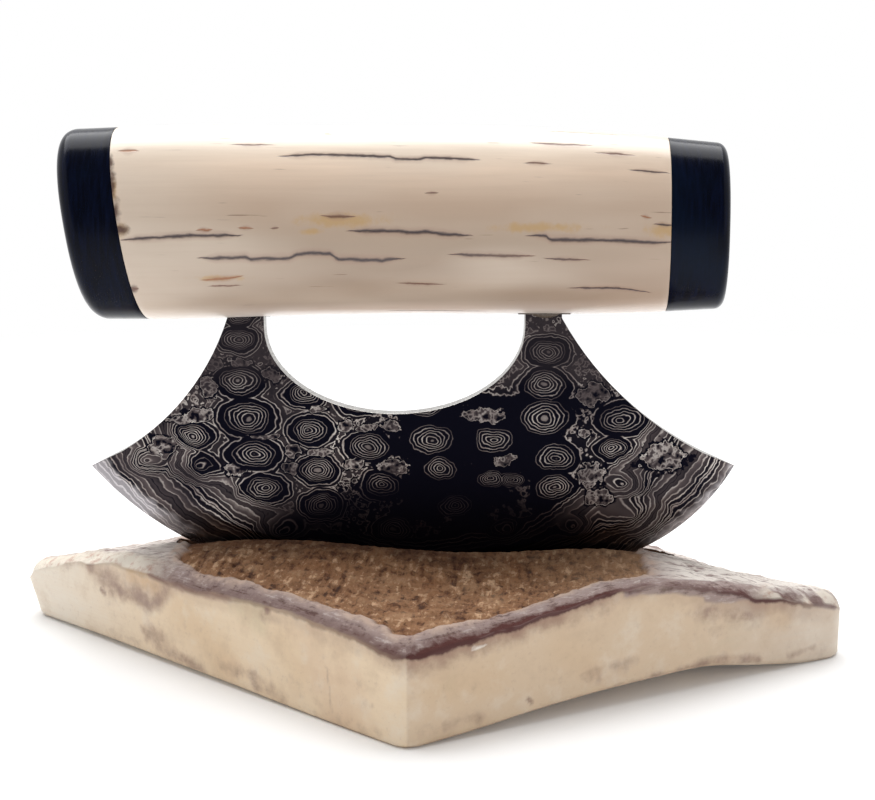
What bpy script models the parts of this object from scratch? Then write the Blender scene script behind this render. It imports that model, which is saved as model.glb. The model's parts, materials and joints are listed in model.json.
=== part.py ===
"""Ulu knife standing in its bone stand, one named object for each piece, at real size.

Metres, +Z up, -Y to the front, +X along the handle to the right. The origin is on the table,
under the middle of the stand, and the blade's middle plane is Y = 0. The knife's pieces are
modelled in the knife's own frame, whose origin is the lowest point of the blade's edge line,
and hang on an empty that sits in the slot of the stand.
"""
import math

import bmesh
import bpy
from mathutils import Vector

# Fits
FIT_GAP = 0.0003            # between a piece and the one it is set into or butts against
SEAT_GAP = 0.0003           # between the cutting edge and the floor of the slot
CUT_OVERRUN = 0.004         # how far every cut runs past the surface that it opens

# Stand: a lozenge sawn from thick bone
STAND_HALF_LENGTH = 0.0832  # middle to left or right corner, before the corners are rounded
STAND_HALF_DEPTH = 0.0535   # middle to front or back corner, before rounding
STAND_END_SKEW = 0.012      # how far back the left corner lies, and forward the right one
STAND_FRONT_SKEW = 0.0010   # how far left the front corner lies, and right the back one
STAND_CORNER_RADIUS = 0.0045
STAND_HEIGHT = 0.021        # table to the highest hump of the rim
STAND_RIM_WIDTH = 0.0042    # sloping band of bark between the sawn side and the crest
STAND_RIM_DROP = 0.0011     # fall of that band along the sides
STAND_CORNER_DROP = 0.0021  # its extra fall at a corner
STAND_CORNER_REACH = 0.030  # how far along a side the extra fall is felt
STAND_FOOT_ROUND = 0.0006   # rounding of the bottom edge
STAND_HEEL_TUCK = 0.0024    # how far the left corner's foot is cut back under its top
STAND_ARCH_LIFT = 0.0035    # hollow under the front right side
STAND_SIDE_LIFT = 0.0008    # hollow under the other sides

# Height of the top on a net of five by five, as shares of STAND_HEIGHT: rows run from the back
# left side to the front right one, and each row runs from the front corner side to the back
STAND_TOP_SHARES = (
    (0.52, 0.37, 0.36, 0.47, 0.64),
    (0.79, 0.86, 0.82, 0.79, 0.70),
    (0.88, 0.94, 0.84, 0.81, 0.67),
    (0.90, 0.79, 0.77, 0.85, 0.51),
    (0.82, 0.88, 1.00, 0.75, 0.57),
)
# Hollow under a side, from its start to its end, as shares of its lift
ARCH_SHARES = (0.0, 0.24, 0.58, 0.84, 0.97, 1.0, 0.5, 0.06, 0.0)
SIDE_ARCH_SHARES = (0.0, 0.6, 1.0, 0.95, 0.8, 0.6, 0.2, 0.0, 0.0)
CRUST_REACH = 0.050             # half the length along X that the crust's widths are spread over
CRUST_EXTRAS = (0.0058, 0.0008, 0.0010, 0.0024, 0.0018, 0.0008, 0.0018, 0.0038, 0.0073, 0.0088, 0.0158)
CRUST_RINGS = 3                 # rings of the crust, inwards from the crest
SPONGE_HALF_LENGTH = 0.0435     # of the spongy middle, along X
SPONGE_SHIFT = -0.0008
SPONGE_SINK = 0.0006            # of the spongy middle under the crust
SPONGE_STEP = 0.0008            # width of the step down to it
SPONGE_SEARCHES = 24            # halvings that find its edge
RING_SHARES = (0.86, 0.72, 0.56, 0.38, 0.18)    # rings of the spongy middle, as shares of its edge
FOOT_SHARE = 0.72           # flat of the underside, as a share of the outline
STAND_SIDE_STEPS = 12
STAND_CORNER_STEPS = 4

# Slot in the stand
SLOT_FLOOR = 0.0095         # bone left under the slot
SLOT_END_ROOM = 0.0028      # room past the blade at both ends
SLOT_SIDE_GAP = 0.0003

# Blade
KNIFE_SHIFT = -0.0007       # the blade's middle, from the middle of the stand
BLADE_SPAN = 0.1238         # tip to tip
BLADE_THICKNESS = 0.0035
BLADE_EDGE = 0.0004         # thickness left at the cutting edge
BLADE_BEVEL = 0.0070        # width of the ground bevel
TIP_RISE = 0.0236           # both tips, above the lowest point of the edge
KEEL_SHIFT = 0.0018         # that lowest point, right of the blade's middle
KEEL_RADIUS = 0.150         # flat middle arc of the edge
EDGE_LEFT_RADIUS = 0.061
EDGE_RIGHT_RADIUS = 0.0397
SHOULDER_LEFT_RADIUS = 0.0478   # hollow arcs from the tips up to the tangs
SHOULDER_RIGHT_RADIUS = 0.0654
SHOULDER_RISE = 0.0523      # where the tangs leave the hollow arcs
CUTOUT_SHIFT = -0.00335     # finger opening's middle, from the blade's middle
CUTOUT_HALF_WIDTH = 0.0245
CUTOUT_DEPTH = 0.0164       # half ellipse below CUTOUT_RISE
CUTOUT_RISE = 0.0504
TANG_WIDTH = 0.0069
TANG_LENGTH = 0.016         # above the shoulder
KEY_HOLE_RADIUS = 0.0014    # hole through each tang, which the bedding fills
KEY_HOLE_RISE = 0.009       # above the shoulder
EDGE_STEPS = (22, 18, 18)
SHOULDER_STEPS = 14
CUTOUT_STEPS = 32

# Handle
HANDLE_LENGTH = 0.1196      # along its middle, caps included
HANDLE_SHIFT = -0.0019      # its middle, from the blade's middle
HANDLE_HEIGHT = 0.0357      # where it is fullest
HANDLE_DEPTH = 0.0280
HANDLE_OVER_SHOULDER = 0.0179   # its axis, above the place where the tangs leave the hollow arcs
HANDLE_RISE = SHOULDER_RISE + HANDLE_OVER_SHOULDER
LEFT_CAP_LENGTH = 0.0103
RIGHT_CAP_LENGTH = 0.0107
LEFT_CAP_ROUND = 0.0036     # rounding of each cap's outer rim
RIGHT_CAP_ROUND = 0.0016
LEFT_LEAN = math.radians(7.4)   # top of the left joint leans out
LEFT_TURN = math.radians(1.0)   # front of the left joint is turned out
RIGHT_LEAN = math.radians(0.8)
RIGHT_TURN = math.radians(5.0)
SECTION_POWER = 2.3         # 2 is an ellipse, more is squarer

# Half height and half depth, and rise of the middle, at even steps from left to right,
# as shares of HANDLE_HEIGHT, HANDLE_DEPTH and HANDLE_HEIGHT
HALF_HEIGHT_SHARES = (0.490, 0.500, 0.490, 0.485, 0.482, 0.465, 0.427)
HALF_DEPTH_SHARES = (0.485, 0.500, 0.492, 0.478, 0.460, 0.437, 0.410)
MIDDLE_SHARES = (-0.017, -0.007, 0.0, 0.006, 0.001, -0.014, -0.027)
HANDLE_SIDES = 56
BARREL_STEPS = 14
ROUND_STEPS = 5

# What is hidden in the handle
BED_WALL = 0.0011           # epoxy round each tang
BED_RECESS = 0.0004         # left bed stops this far inside the handle
BEAD_DROP = 0.0006          # right bed is squeezed out this far below it
DOWEL_RADIUS = 0.0015
DOWEL_SPREAD = 0.0085       # each dowel, above or below the handle's axis
DOWEL_IN_CAP = 0.0062
DOWEL_REACH_SHARE = 0.65    # of the room between the joint and the mortise, in the barrel
DOWEL_SIDES = 24

SMOOTH_ANGLE = math.radians(35)


def clear_scene():
    """Remove every object that is in the scene."""
    for obj in list(bpy.data.objects):
        bpy.data.objects.remove(obj)


def make_material(name, colour, roughness, metallic=0.0, coat=0.0):
    """A plain principled material with the piece's own colour."""
    material = bpy.data.materials.new(name)
    material.use_nodes = True
    shader = material.node_tree.nodes["Principled BSDF"]
    shader.inputs["Base Color"].default_value = (*colour, 1.0)
    shader.inputs["Roughness"].default_value = roughness
    shader.inputs["Metallic"].default_value = metallic
    shader.inputs["Coat Weight"].default_value = coat
    return material


def add_object(name, bm, material=None, parent=None, smooth=True):
    """Turn a bmesh into a named object, with its normals out."""
    bmesh.ops.recalc_face_normals(bm, faces=bm.faces)
    mesh = bpy.data.meshes.new(name)
    bm.to_mesh(mesh)
    bm.free()
    if smooth:
        mesh.shade_smooth()
        mesh.set_sharp_from_angle(angle=SMOOTH_ANGLE)
    obj = bpy.data.objects.new(name, mesh)
    bpy.context.scene.collection.objects.link(obj)
    if material:
        mesh.materials.append(material)
    obj.parent = parent
    return obj


def add_cutter(name, bm, parent=None):
    """A hidden helper that a Boolean reads."""
    cutter = add_object(name, bm, parent=parent, smooth=False)
    cutter.hide_render = True
    cutter.display_type = 'WIRE'
    return cutter


def boolean(obj, helper, operation='DIFFERENCE'):
    """Cut a helper out of an object, or join it on."""
    modifier = obj.modifiers.new(helper.name, 'BOOLEAN')
    modifier.operation = operation
    modifier.solver = 'EXACT'
    modifier.object = helper


def loft(rings):
    """Closed skin through rings of equally many points, with a flat face on both ends."""
    bm = bmesh.new()
    loops = [[bm.verts.new(point) for point in ring] for ring in rings]
    for low, high in zip(loops, loops[1:]):
        for k in range(len(low)):
            after = (k + 1) % len(low)
            bm.faces.new((low[k], low[after], high[after], high[k]))
    bm.faces.new(loops[0])
    bm.faces.new(loops[-1])
    return bm


def prism(outline, y_low, y_high):
    """Solid between two depths, from an outline of (x, z) points."""
    return loft([[(x, y, z) for x, z in outline] for y in (y_low, y_high)])


def box(low, high):
    """Box between two corners."""
    (x0, y0, z0), (x1, y1, z1) = low, high
    return prism(((x0, z0), (x1, z0), (x1, z1), (x0, z1)), y0, y1)


def rod(start, end, radius, sides=DOWEL_SIDES):
    """Round bar between two points."""
    axis = (end - start).normalized()
    turn = Vector((0.0, 0.0, 1.0)).rotation_difference(axis)
    rings = []
    for centre in (start, end):
        ring = []
        for k in range(sides):
            angle = math.tau * k / sides
            ring.append(centre + turn @ Vector((radius * math.cos(angle), radius * math.sin(angle), 0.0)))
        rings.append(ring)
    return loft(rings)


def spline(values, share):
    """Value at a share of the way along evenly spaced values, on a smooth curve through them."""
    spans = len(values) - 1
    place = min(max(share, 0.0), 1.0) * spans
    k = min(int(place), spans - 1)
    t = place - k
    start, end = values[k], values[k + 1]
    before = values[k - 1] if k > 0 else 2 * start - end
    after = values[k + 2] if k + 2 <= spans else 2 * end - start
    slope_start = (end - before) / 2
    slope_end = (after - start) / 2
    rise = end - start
    bend = slope_start + slope_end - 2 * rise
    return start + slope_start * t + (rise - slope_start - bend) * t ** 2 + bend * t ** 3


def circle_meet(centre_a, radius_a, centre_b, radius_b, side):
    """One of the two points where two circles in a plane meet: side is 1 or -1."""
    line = centre_b - centre_a
    along = (radius_a ** 2 - radius_b ** 2 + line.length_squared) / (2 * line.length)
    across = math.sqrt(max(radius_a ** 2 - along ** 2, 0.0))
    unit = line.normalized()
    return centre_a + along * unit + side * across * Vector((-unit.y, unit.x))


def arc(centre, start, end, steps):
    """Points on the shorter arc about a centre, from start to end, both included."""
    first, last = start - centre, end - centre
    sweep = math.atan2(first.x * last.y - first.y * last.x, first.dot(last))
    base = math.atan2(first.y, first.x)
    points = []
    for k in range(steps + 1):
        share = k / steps
        angle = base + sweep * share
        radius = first.length + (last.length - first.length) * share
        points.append(centre + radius * Vector((math.cos(angle), math.sin(angle))))
    return points


class BladeOutline:
    """The blade's outline in the knife's XZ plane, worked out from its named arcs."""

    def __init__(self):
        self.tips = [Vector((side * BLADE_SPAN / 2, TIP_RISE)) for side in (-1, 1)]
        self.edge_radii = (EDGE_LEFT_RADIUS, EDGE_RIGHT_RADIUS)
        self.keel_centre = Vector((KEEL_SHIFT, KEEL_RADIUS))
        self.edge_centres = []
        self.shoulders = []
        self.hollow_centres = []
        hollow_radii = (SHOULDER_LEFT_RADIUS, SHOULDER_RIGHT_RADIUS)
        for side, tip, radius, hollow in zip((-1, 1), self.tips, self.edge_radii, hollow_radii):
            self.edge_centres.append(
                circle_meet(self.keel_centre, KEEL_RADIUS - radius, tip, radius, -side))
            outer = CUTOUT_SHIFT + side * (CUTOUT_HALF_WIDTH + TANG_WIDTH)
            shoulder = Vector((outer, SHOULDER_RISE))
            self.shoulders.append(shoulder)
            self.hollow_centres.append(circle_meet(tip, hollow, shoulder, hollow, -side))
        self.hollow_radii = hollow_radii

    def edge(self, inset):
        """Line parallel to the cutting edge, inset from it, or outside it if inset is negative."""
        ends = self.tips
        if inset > 0:
            ends = [
                circle_meet(self.edge_centres[k], self.edge_radii[k] - inset,
                            self.hollow_centres[k], self.hollow_radii[k], side)
                for k, side in ((0, 1), (1, -1))]
        meets = []
        for k in (0, 1):
            away = (self.edge_centres[k] - self.keel_centre).normalized()
            meets.append(self.keel_centre + (KEEL_RADIUS - inset) * away)
        starts = []
        for centre, radius, end in zip(self.edge_centres, self.edge_radii, ends):
            starts.append(centre + (radius - inset) * (end - centre).normalized())
        points = arc(self.edge_centres[0], starts[0], meets[0], EDGE_STEPS[0])
        points += arc(self.keel_centre, meets[0], meets[1], EDGE_STEPS[1])[1:]
        points += arc(self.edge_centres[1], meets[1], starts[1], EDGE_STEPS[2])[1:]
        return points

    def upper(self, right_start, left_end):
        """The outline above the edge, from the right end of the bevel round to the left one."""
        top = SHOULDER_RISE + TANG_LENGTH
        inner = [CUTOUT_SHIFT + side * CUTOUT_HALF_WIDTH for side in (-1, 1)]
        points = arc(self.hollow_centres[1], right_start, self.shoulders[1], SHOULDER_STEPS)[1:]
        points += [Vector((self.shoulders[1].x, top)), Vector((inner[1], top))]
        for k in range(CUTOUT_STEPS + 1):
            angle = math.pi * k / CUTOUT_STEPS
            points.append(Vector((CUTOUT_SHIFT + CUTOUT_HALF_WIDTH * math.cos(angle),
                                  CUTOUT_RISE - CUTOUT_DEPTH * math.sin(angle))))
        points += [Vector((inner[0], top)), Vector((self.shoulders[0].x, top))]
        points += arc(self.hollow_centres[0], self.shoulders[0], left_end, SHOULDER_STEPS)[:-1]
        return points


def tang_centre(side):
    """Middle of a tang along X: side is -1 for the left one and 1 for the right one."""
    return CUTOUT_SHIFT + side * (CUTOUT_HALF_WIDTH + TANG_WIDTH / 2)


def build_blade(parent, material):
    """Flat blade with a ground bevel along its edge and a keying hole through each tang."""
    outline = BladeOutline()
    edge = outline.edge(0.0)
    shore = outline.edge(BLADE_BEVEL)
    upper = outline.upper(shore[-1], shore[0])
    bm = bmesh.new()
    faces, edges = [], []
    for side in (-1, 1):
        depth = side * BLADE_THICKNESS / 2
        faces.append([bm.verts.new((p.x, depth, p.y)) for p in shore + upper])
        edges.append([bm.verts.new((p.x, side * BLADE_EDGE / 2, p.y)) for p in edge])
    for loop in faces:
        bm.faces.new(loop)
    front, back = faces
    for k in range(len(shore) - 1):
        bm.faces.new((front[k], front[k + 1], edges[0][k + 1], edges[0][k]))
        bm.faces.new((back[k], back[k + 1], edges[1][k + 1], edges[1][k]))
        bm.faces.new((edges[0][k], edges[0][k + 1], edges[1][k + 1], edges[1][k]))
    for k in range(len(shore) - 1, len(front)):
        after = (k + 1) % len(front)
        bm.faces.new((front[k], front[after], back[after], back[k]))
    for face_end, edge_end in ((0, 0), (len(shore) - 1, -1)):
        bm.faces.new((front[face_end], edges[0][edge_end], edges[1][edge_end], back[face_end]))
    blade = add_object("blade", bm, material, parent)
    for side, name in ((-1, "left_key_hole"), (1, "right_key_hole")):
        reach = Vector((0.0, BLADE_THICKNESS / 2 + CUT_OVERRUN, 0.0))
        centre = Vector((tang_centre(side), 0.0, SHOULDER_RISE + KEY_HOLE_RISE))
        boolean(blade, add_cutter(name, rod(centre - reach, centre + reach, KEY_HOLE_RADIUS), parent))


def handle_share(x):
    """Share of the way along the handle."""
    return (x - HANDLE_SHIFT) / HANDLE_LENGTH + 0.5


def handle_section(x):
    """Half depth, half height and middle height of the handle's section."""
    share = handle_share(x)
    half_depth = HANDLE_DEPTH * spline(HALF_DEPTH_SHARES, share)
    half_height = HANDLE_HEIGHT * spline(HALF_HEIGHT_SHARES, share)
    middle = HANDLE_RISE + HANDLE_HEIGHT * spline(MIDDLE_SHARES, share)
    return half_depth, half_height, middle


def handle_ring(x, lean, turn, inset=0.0):
    """Ring of the handle's skin on a plane that leans and turns about the point at x."""
    ring = []
    for k in range(HANDLE_SIDES):
        angle = math.tau * (k + 0.5) / HANDLE_SIDES
        across, up = math.cos(angle), math.sin(angle)
        place = x
        for _ in range(3):
            half_depth, half_height, middle = handle_section(place)
            y = (half_depth - inset) * math.copysign(abs(across) ** (2 / SECTION_POWER), across)
            z = middle + (half_height - inset) * math.copysign(abs(up) ** (2 / SECTION_POWER), up)
            place = x - math.tan(lean) * (z - HANDLE_RISE) + math.tan(turn) * y
        ring.append((place, y, z))
    return ring


def joint_places():
    """Where the barrel meets the left and the right cap, along the handle's middle."""
    left_end = HANDLE_SHIFT - HANDLE_LENGTH / 2
    right_end = HANDLE_SHIFT + HANDLE_LENGTH / 2
    return left_end + LEFT_CAP_LENGTH, right_end - RIGHT_CAP_LENGTH


def build_cap(name, joint, outward, length, rounding, lean, turn, parent, material):
    """End cap: a short length of the handle's skin with a rounded outer rim."""
    rings = [handle_ring(joint + outward * FIT_GAP, lean, turn)]
    straight = length - rounding
    for share in (0.5, 1.0):
        rings.append(handle_ring(joint + outward * straight * share, lean, turn))
    for k in range(1, ROUND_STEPS + 1):
        angle = math.pi / 2 * k / ROUND_STEPS
        place = joint + outward * (straight + rounding * math.sin(angle))
        rings.append(handle_ring(place, lean, turn, rounding * (1 - math.cos(angle))))
    return add_object(name, loft(rings), material, parent)


def dowel_span(joint, outward, extra):
    """Ends of a dowel, or of its hole where extra is the hole's clearance."""
    mortise = tang_centre(outward) + outward * (TANG_WIDTH / 2 + BED_WALL + 2 * FIT_GAP)
    reach = DOWEL_REACH_SHARE * abs(joint - mortise)
    return joint + outward * (DOWEL_IN_CAP + extra), joint - outward * (reach + extra)


def build_dowels(barrel, cap, side_name, joint, outward, parent, material):
    """Two dowels across one joint, with a hole for each in the barrel and in the cap."""
    for level, sign in (("upper", 1), ("lower", -1)):
        height = HANDLE_RISE + sign * DOWEL_SPREAD
        for extra in (0.0, FIT_GAP):
            ends = [Vector((x, 0.0, height)) for x in dowel_span(joint, outward, extra)]
            bar = rod(ends[0], ends[1], DOWEL_RADIUS + extra)
            name = side_name + "_cap_dowel_" + level
            if extra:
                hole = add_cutter(name + "_hole", bar, parent)
                boolean(barrel, hole)
                boolean(cap, hole)
            else:
                add_object(name, bar, material, parent)


def bed_box(centre, grow, bottom, top):
    """Box round a tang, grown on its four sides."""
    half_width = TANG_WIDTH / 2 + grow
    half_depth = BLADE_THICKNESS / 2 + grow
    return box((centre - half_width, -half_depth, bottom), (centre + half_width, half_depth, top))


def build_bedding(barrel, side, drop, parent, material):
    """Mortise in the barrel, and the epoxy in it that grips the tang and keys through its hole."""
    name = "left_tang" if side < 0 else "right_tang"
    centre = tang_centre(side)
    half_height, middle = handle_section(centre)[1:]
    underside = middle - half_height
    tang_top = SHOULDER_RISE + TANG_LENGTH
    bed_top = tang_top + FIT_GAP + BED_WALL
    outer = FIT_GAP + BED_WALL
    mortise = bed_box(centre, outer + FIT_GAP, underside - CUT_OVERRUN, bed_top + FIT_GAP)
    boolean(barrel, add_cutter(name + "_mortise", mortise, parent))
    bed = add_object(name + "_bedding", bed_box(centre, outer, underside - drop, bed_top),
                     material, parent, smooth=False)
    pocket = bed_box(centre, FIT_GAP, underside - CUT_OVERRUN, tang_top + FIT_GAP)
    boolean(bed, add_cutter(name + "_pocket", pocket, parent))
    reach = Vector((0.0, BLADE_THICKNESS / 2 + FIT_GAP + BED_WALL / 2, 0.0))
    key_centre = Vector((centre, 0.0, SHOULDER_RISE + KEY_HOLE_RISE))
    key = rod(key_centre - reach, key_centre + reach, KEY_HOLE_RADIUS - FIT_GAP)
    boolean(bed, add_cutter(name + "_key", key, parent), 'UNION')


def build_handle(parent, ivory, horn, brass, epoxy):
    """Barrel, caps, dowels and beddings."""
    left, right = joint_places()
    rings = []
    for k in range(BARREL_STEPS + 1):
        share = k / BARREL_STEPS
        lean = LEFT_LEAN + (RIGHT_LEAN - LEFT_LEAN) * share
        turn = LEFT_TURN + (RIGHT_TURN - LEFT_TURN) * share
        rings.append(handle_ring(left + (right - left) * share, lean, turn))
    barrel = add_object("handle_barrel", loft(rings), ivory, parent)
    left_cap = build_cap("left_end_cap", left, -1, LEFT_CAP_LENGTH, LEFT_CAP_ROUND,
                         LEFT_LEAN, LEFT_TURN, parent, horn)
    right_cap = build_cap("right_end_cap", right, 1, RIGHT_CAP_LENGTH, RIGHT_CAP_ROUND,
                          RIGHT_LEAN, RIGHT_TURN, parent, horn)
    build_dowels(barrel, left_cap, "left", left, -1, parent, brass)
    build_dowels(barrel, right_cap, "right", right, 1, parent, brass)
    build_bedding(barrel, -1, -BED_RECESS, parent, epoxy)
    build_bedding(barrel, 1, BEAD_DROP, parent, epoxy)


def stand_corners():
    """Sharp corners of the stand in plan: left, front, right and back."""
    left = Vector((-STAND_HALF_LENGTH, STAND_END_SKEW))
    front = Vector((-STAND_FRONT_SKEW, -STAND_HALF_DEPTH))
    return [left, front, -left, -front]


def stand_outline(inset):
    """Rounded outline of the stand, as (point, side, share along the side) from corner to corner."""
    corners = stand_corners()
    radius = STAND_CORNER_RADIUS
    tangents, centres = [], []
    for k, corner in enumerate(corners):
        back = (corners[k - 1] - corner).normalized()
        ahead = (corners[(k + 1) % 4] - corner).normalized()
        half_angle = back.angle(ahead) / 2
        centres.append(corner + (back + ahead).normalized() * radius / math.sin(half_angle))
        tangents.append(radius / math.tan(half_angle))
    points = []
    for k, corner in enumerate(corners):
        follow = corners[(k + 1) % 4]
        before = (corner - corners[k - 1]).normalized()
        along = (follow - corner).normalized()
        out_before = Vector((before.y, -before.x))
        out = Vector((along.y, -along.x))
        start = centres[k] + (radius - inset) * out_before
        end = centres[k] + (radius - inset) * out
        for point in arc(centres[k], start, end, STAND_CORNER_STEPS)[:-1]:
            points.append((point, k, 0.0))
        side_length = (follow - corner).length
        straight = side_length - tangents[k] - tangents[(k + 1) % 4]
        for step in range(STAND_SIDE_STEPS):
            reach = straight * step / STAND_SIDE_STEPS
            points.append((end + reach * along, k, (tangents[k] + reach) / side_length))
    return points


def top_height(point):
    """Height of the stand's top over a point in plan."""
    left, front, _, back = stand_corners()
    ahead, across = front - left, back - left
    place = point - left
    area = ahead.x * across.y - ahead.y * across.x
    row = (place.x * across.y - place.y * across.x) / area
    column = (ahead.x * place.y - ahead.y * place.x) / area
    heights = [spline(shares, column) for shares in STAND_TOP_SHARES]
    return STAND_HEIGHT * spline(heights, row)


def stand_inset(point):
    """Distance of a point in plan inside the nearest of the stand's sides."""
    corners = stand_corners()
    insets = []
    for k, corner in enumerate(corners):
        along = (corners[(k + 1) % 4] - corner).normalized()
        insets.append((point - corner).dot(Vector((-along.y, along.x))))
    return min(insets)


def sponge_room(point):
    """Distance of a point in plan inside the edge of the spongy middle."""
    share = (point.x + CRUST_REACH) / (2 * CRUST_REACH)
    crust = STAND_RIM_WIDTH + spline(CRUST_EXTRAS, share)
    return min(stand_inset(point) - crust, SPONGE_HALF_LENGTH - abs(point.x - SPONGE_SHIFT))


def sponge_edge(point):
    """Where a line from the stand's middle to a point of the crest leaves the spongy middle."""
    inside, outside = 0.0, 1.0
    for _ in range(SPONGE_SEARCHES):
        share = (inside + outside) / 2
        if sponge_room(share * point) > 0:
            inside = share
        else:
            outside = share
    return inside * point


def rim_drop(point):
    """Fall from the crest of the rim to the top of the sawn side."""
    nearest = min((point - corner).length for corner in stand_corners())
    closeness = max(1 - nearest / STAND_CORNER_REACH, 0.0)
    return STAND_RIM_DROP + STAND_CORNER_DROP * closeness


def foot_lift(side, share):
    """Height of the hollow under a side: side 1 runs from the front corner to the right one."""
    if side == 1:
        return STAND_ARCH_LIFT * spline(ARCH_SHARES, share)
    return STAND_SIDE_LIFT * spline(SIDE_ARCH_SHARES, share)


def tucked(point):
    """Foot of the side, pulled in towards the middle at the left corner."""
    share = max(-point.x / STAND_HALF_LENGTH, 0.0)
    return Vector((point.x + STAND_HEEL_TUCK * share ** 4, point.y))


def build_stand(material, slot_place):
    """The lozenge of bone: arched foot, rounded rim, sunk spongy middle and the slot for the blade."""
    outline = stand_outline(0.0)
    foot = stand_outline(STAND_FOOT_ROUND)
    crest = [point for point, _, _ in stand_outline(STAND_RIM_WIDTH)]
    rings = [[(*(tucked(p) * FOOT_SHARE), 0.0) for p, _, _ in outline]]
    rings.append([(*tucked(p), foot_lift(side, share)) for p, side, share in foot])
    rings.append([(*tucked(p), foot_lift(side, share) + STAND_FOOT_ROUND) for p, side, share in outline])
    rings.append([(*p, top_height(p) - rim_drop(p)) for p, _, _ in outline])
    rings.append([(*p, top_height(p)) for p in crest])
    edge = [sponge_edge(p) for p in crest]
    for step in range(1, CRUST_RINGS + 1):
        ring = [p.lerp(q, step / CRUST_RINGS) for p, q in zip(crest, edge)]
        rings.append([(*p, top_height(p)) for p in ring])
    foot_of_step = [p - p.normalized() * SPONGE_STEP for p in edge]
    for ring_share in (1.0,) + RING_SHARES:
        ring = [p * ring_share for p in foot_of_step]
        rings.append([(*p, top_height(p) - SPONGE_SINK) for p in ring])
    bm = loft(rings)
    middle = bmesh.ops.poke(bm, faces=bm.faces[-1:])["verts"][0]
    middle.co = (0.0, 0.0, top_height(Vector((0.0, 0.0))) - SPONGE_SINK)
    stand = add_object("stand_slab", bm, material)
    slot = add_cutter("blade_slot", slot_solid())
    slot.location = slot_place
    boolean(stand, slot)


def slot_solid():
    """Cutter in the knife's frame: its floor follows the edge, with room past both ends."""
    floor = []
    for point in BladeOutline().edge(-SEAT_GAP):
        shift = math.copysign(SLOT_END_ROOM, point.x - KEEL_SHIFT)
        floor.append((point.x + shift, point.y))
    top = TIP_RISE + CUT_OVERRUN
    outline = floor + [(floor[-1][0], top), (floor[0][0], top)]
    half_width = BLADE_THICKNESS / 2 + SLOT_SIDE_GAP
    return prism(outline, -half_width, half_width)


def main():
    clear_scene()
    steel = make_material("pattern welded steel", (0.08, 0.075, 0.08), 0.38, metallic=1.0)
    ivory = make_material("polished ivory", (0.70, 0.57, 0.43), 0.18, coat=0.4)
    horn = make_material("black horn", (0.008, 0.009, 0.013), 0.16, coat=0.4)
    brass = make_material("brass rod", (0.55, 0.38, 0.14), 0.30, metallic=1.0)
    epoxy = make_material("tan epoxy", (0.33, 0.25, 0.13), 0.35)
    bone = make_material("old bone", (0.62, 0.50, 0.34), 0.55)
    seat = Vector((KNIFE_SHIFT, 0.0, SLOT_FLOOR + SEAT_GAP))
    knife = bpy.data.objects.new("knife_axis", None)
    bpy.context.scene.collection.objects.link(knife)
    knife.location = seat
    build_blade(knife, steel)
    build_handle(knife, ivory, horn, brass, epoxy)
    build_stand(bone, seat)


main()
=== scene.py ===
"""Looks of an ulu knife that stands in a slotted block of bone.

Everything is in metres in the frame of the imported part: +Z up, -Y to the front, and the origin
on the table under the middle of the stand. Patterns are worked out in millimetres.
"""

from __future__ import annotations

import json
import logging
import math
from dataclasses import dataclass, field
from enum import Enum
from typing import Callable, Iterable, Sequence

import bmesh
import bpy
from bmesh.types import BMEdge, BMesh, BMFace, BMLayerItem, BMVert
from bpy.types import Material, Node, NodeSocket, Object, World
from mathutils import Matrix, Vector, noise

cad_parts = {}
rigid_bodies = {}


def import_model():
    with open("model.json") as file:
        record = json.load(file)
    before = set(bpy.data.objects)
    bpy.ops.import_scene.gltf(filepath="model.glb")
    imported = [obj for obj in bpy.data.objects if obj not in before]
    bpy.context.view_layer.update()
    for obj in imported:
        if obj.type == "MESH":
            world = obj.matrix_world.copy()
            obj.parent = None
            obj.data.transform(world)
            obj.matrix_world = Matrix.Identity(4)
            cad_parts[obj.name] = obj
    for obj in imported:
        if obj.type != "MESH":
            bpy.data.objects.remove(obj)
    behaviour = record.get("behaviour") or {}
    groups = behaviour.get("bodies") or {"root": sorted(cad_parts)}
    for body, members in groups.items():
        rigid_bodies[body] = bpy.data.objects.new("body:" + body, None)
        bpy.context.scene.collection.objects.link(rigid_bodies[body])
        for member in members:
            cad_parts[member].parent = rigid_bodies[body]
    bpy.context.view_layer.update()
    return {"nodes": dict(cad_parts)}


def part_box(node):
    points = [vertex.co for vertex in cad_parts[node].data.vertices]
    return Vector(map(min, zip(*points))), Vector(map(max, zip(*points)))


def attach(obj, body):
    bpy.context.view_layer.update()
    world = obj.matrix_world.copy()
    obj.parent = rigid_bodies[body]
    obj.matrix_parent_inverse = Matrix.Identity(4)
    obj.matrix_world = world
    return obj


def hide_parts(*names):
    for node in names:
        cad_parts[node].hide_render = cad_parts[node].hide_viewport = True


LOG = logging.getLogger("ulu")
MM = 0.001
WELD = 0.002 * MM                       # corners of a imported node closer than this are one
FLAT = math.radians(0.4)                # faces that turn by less than this are one
RIGHT_EDGE = 60.0                       # degrees beyond which an edge of the handle is a corner
NOISE_SEED = 5                          # so that every run gives the same lumps and pores
KNIFE_BODY = "knife"
STAND_BODY = "stand"


class Side(Enum):
    """End of the handle, with its direction along X."""

    LEFT = -1
    RIGHT = 1


def linear(code: str) -> tuple[float, ...]:
    """Turn an sRGB hex value into linear colour with full alpha."""
    parts = [int(code[k:k + 2], 16) / 255 for k in (1, 3, 5)]
    return *(part / 12.92 if part <= 0.04045 else ((part + 0.055) / 1.055) ** 2.4 for part in parts), 1.0


def smooth_step(value: float, low: float, high: float) -> float:
    """Rise smoothly from 0 at low to 1 at high."""
    share = min(max((value - low) / (high - low), 0.0), 1.0)
    return share * share * (3.0 - 2.0 * share)


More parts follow.
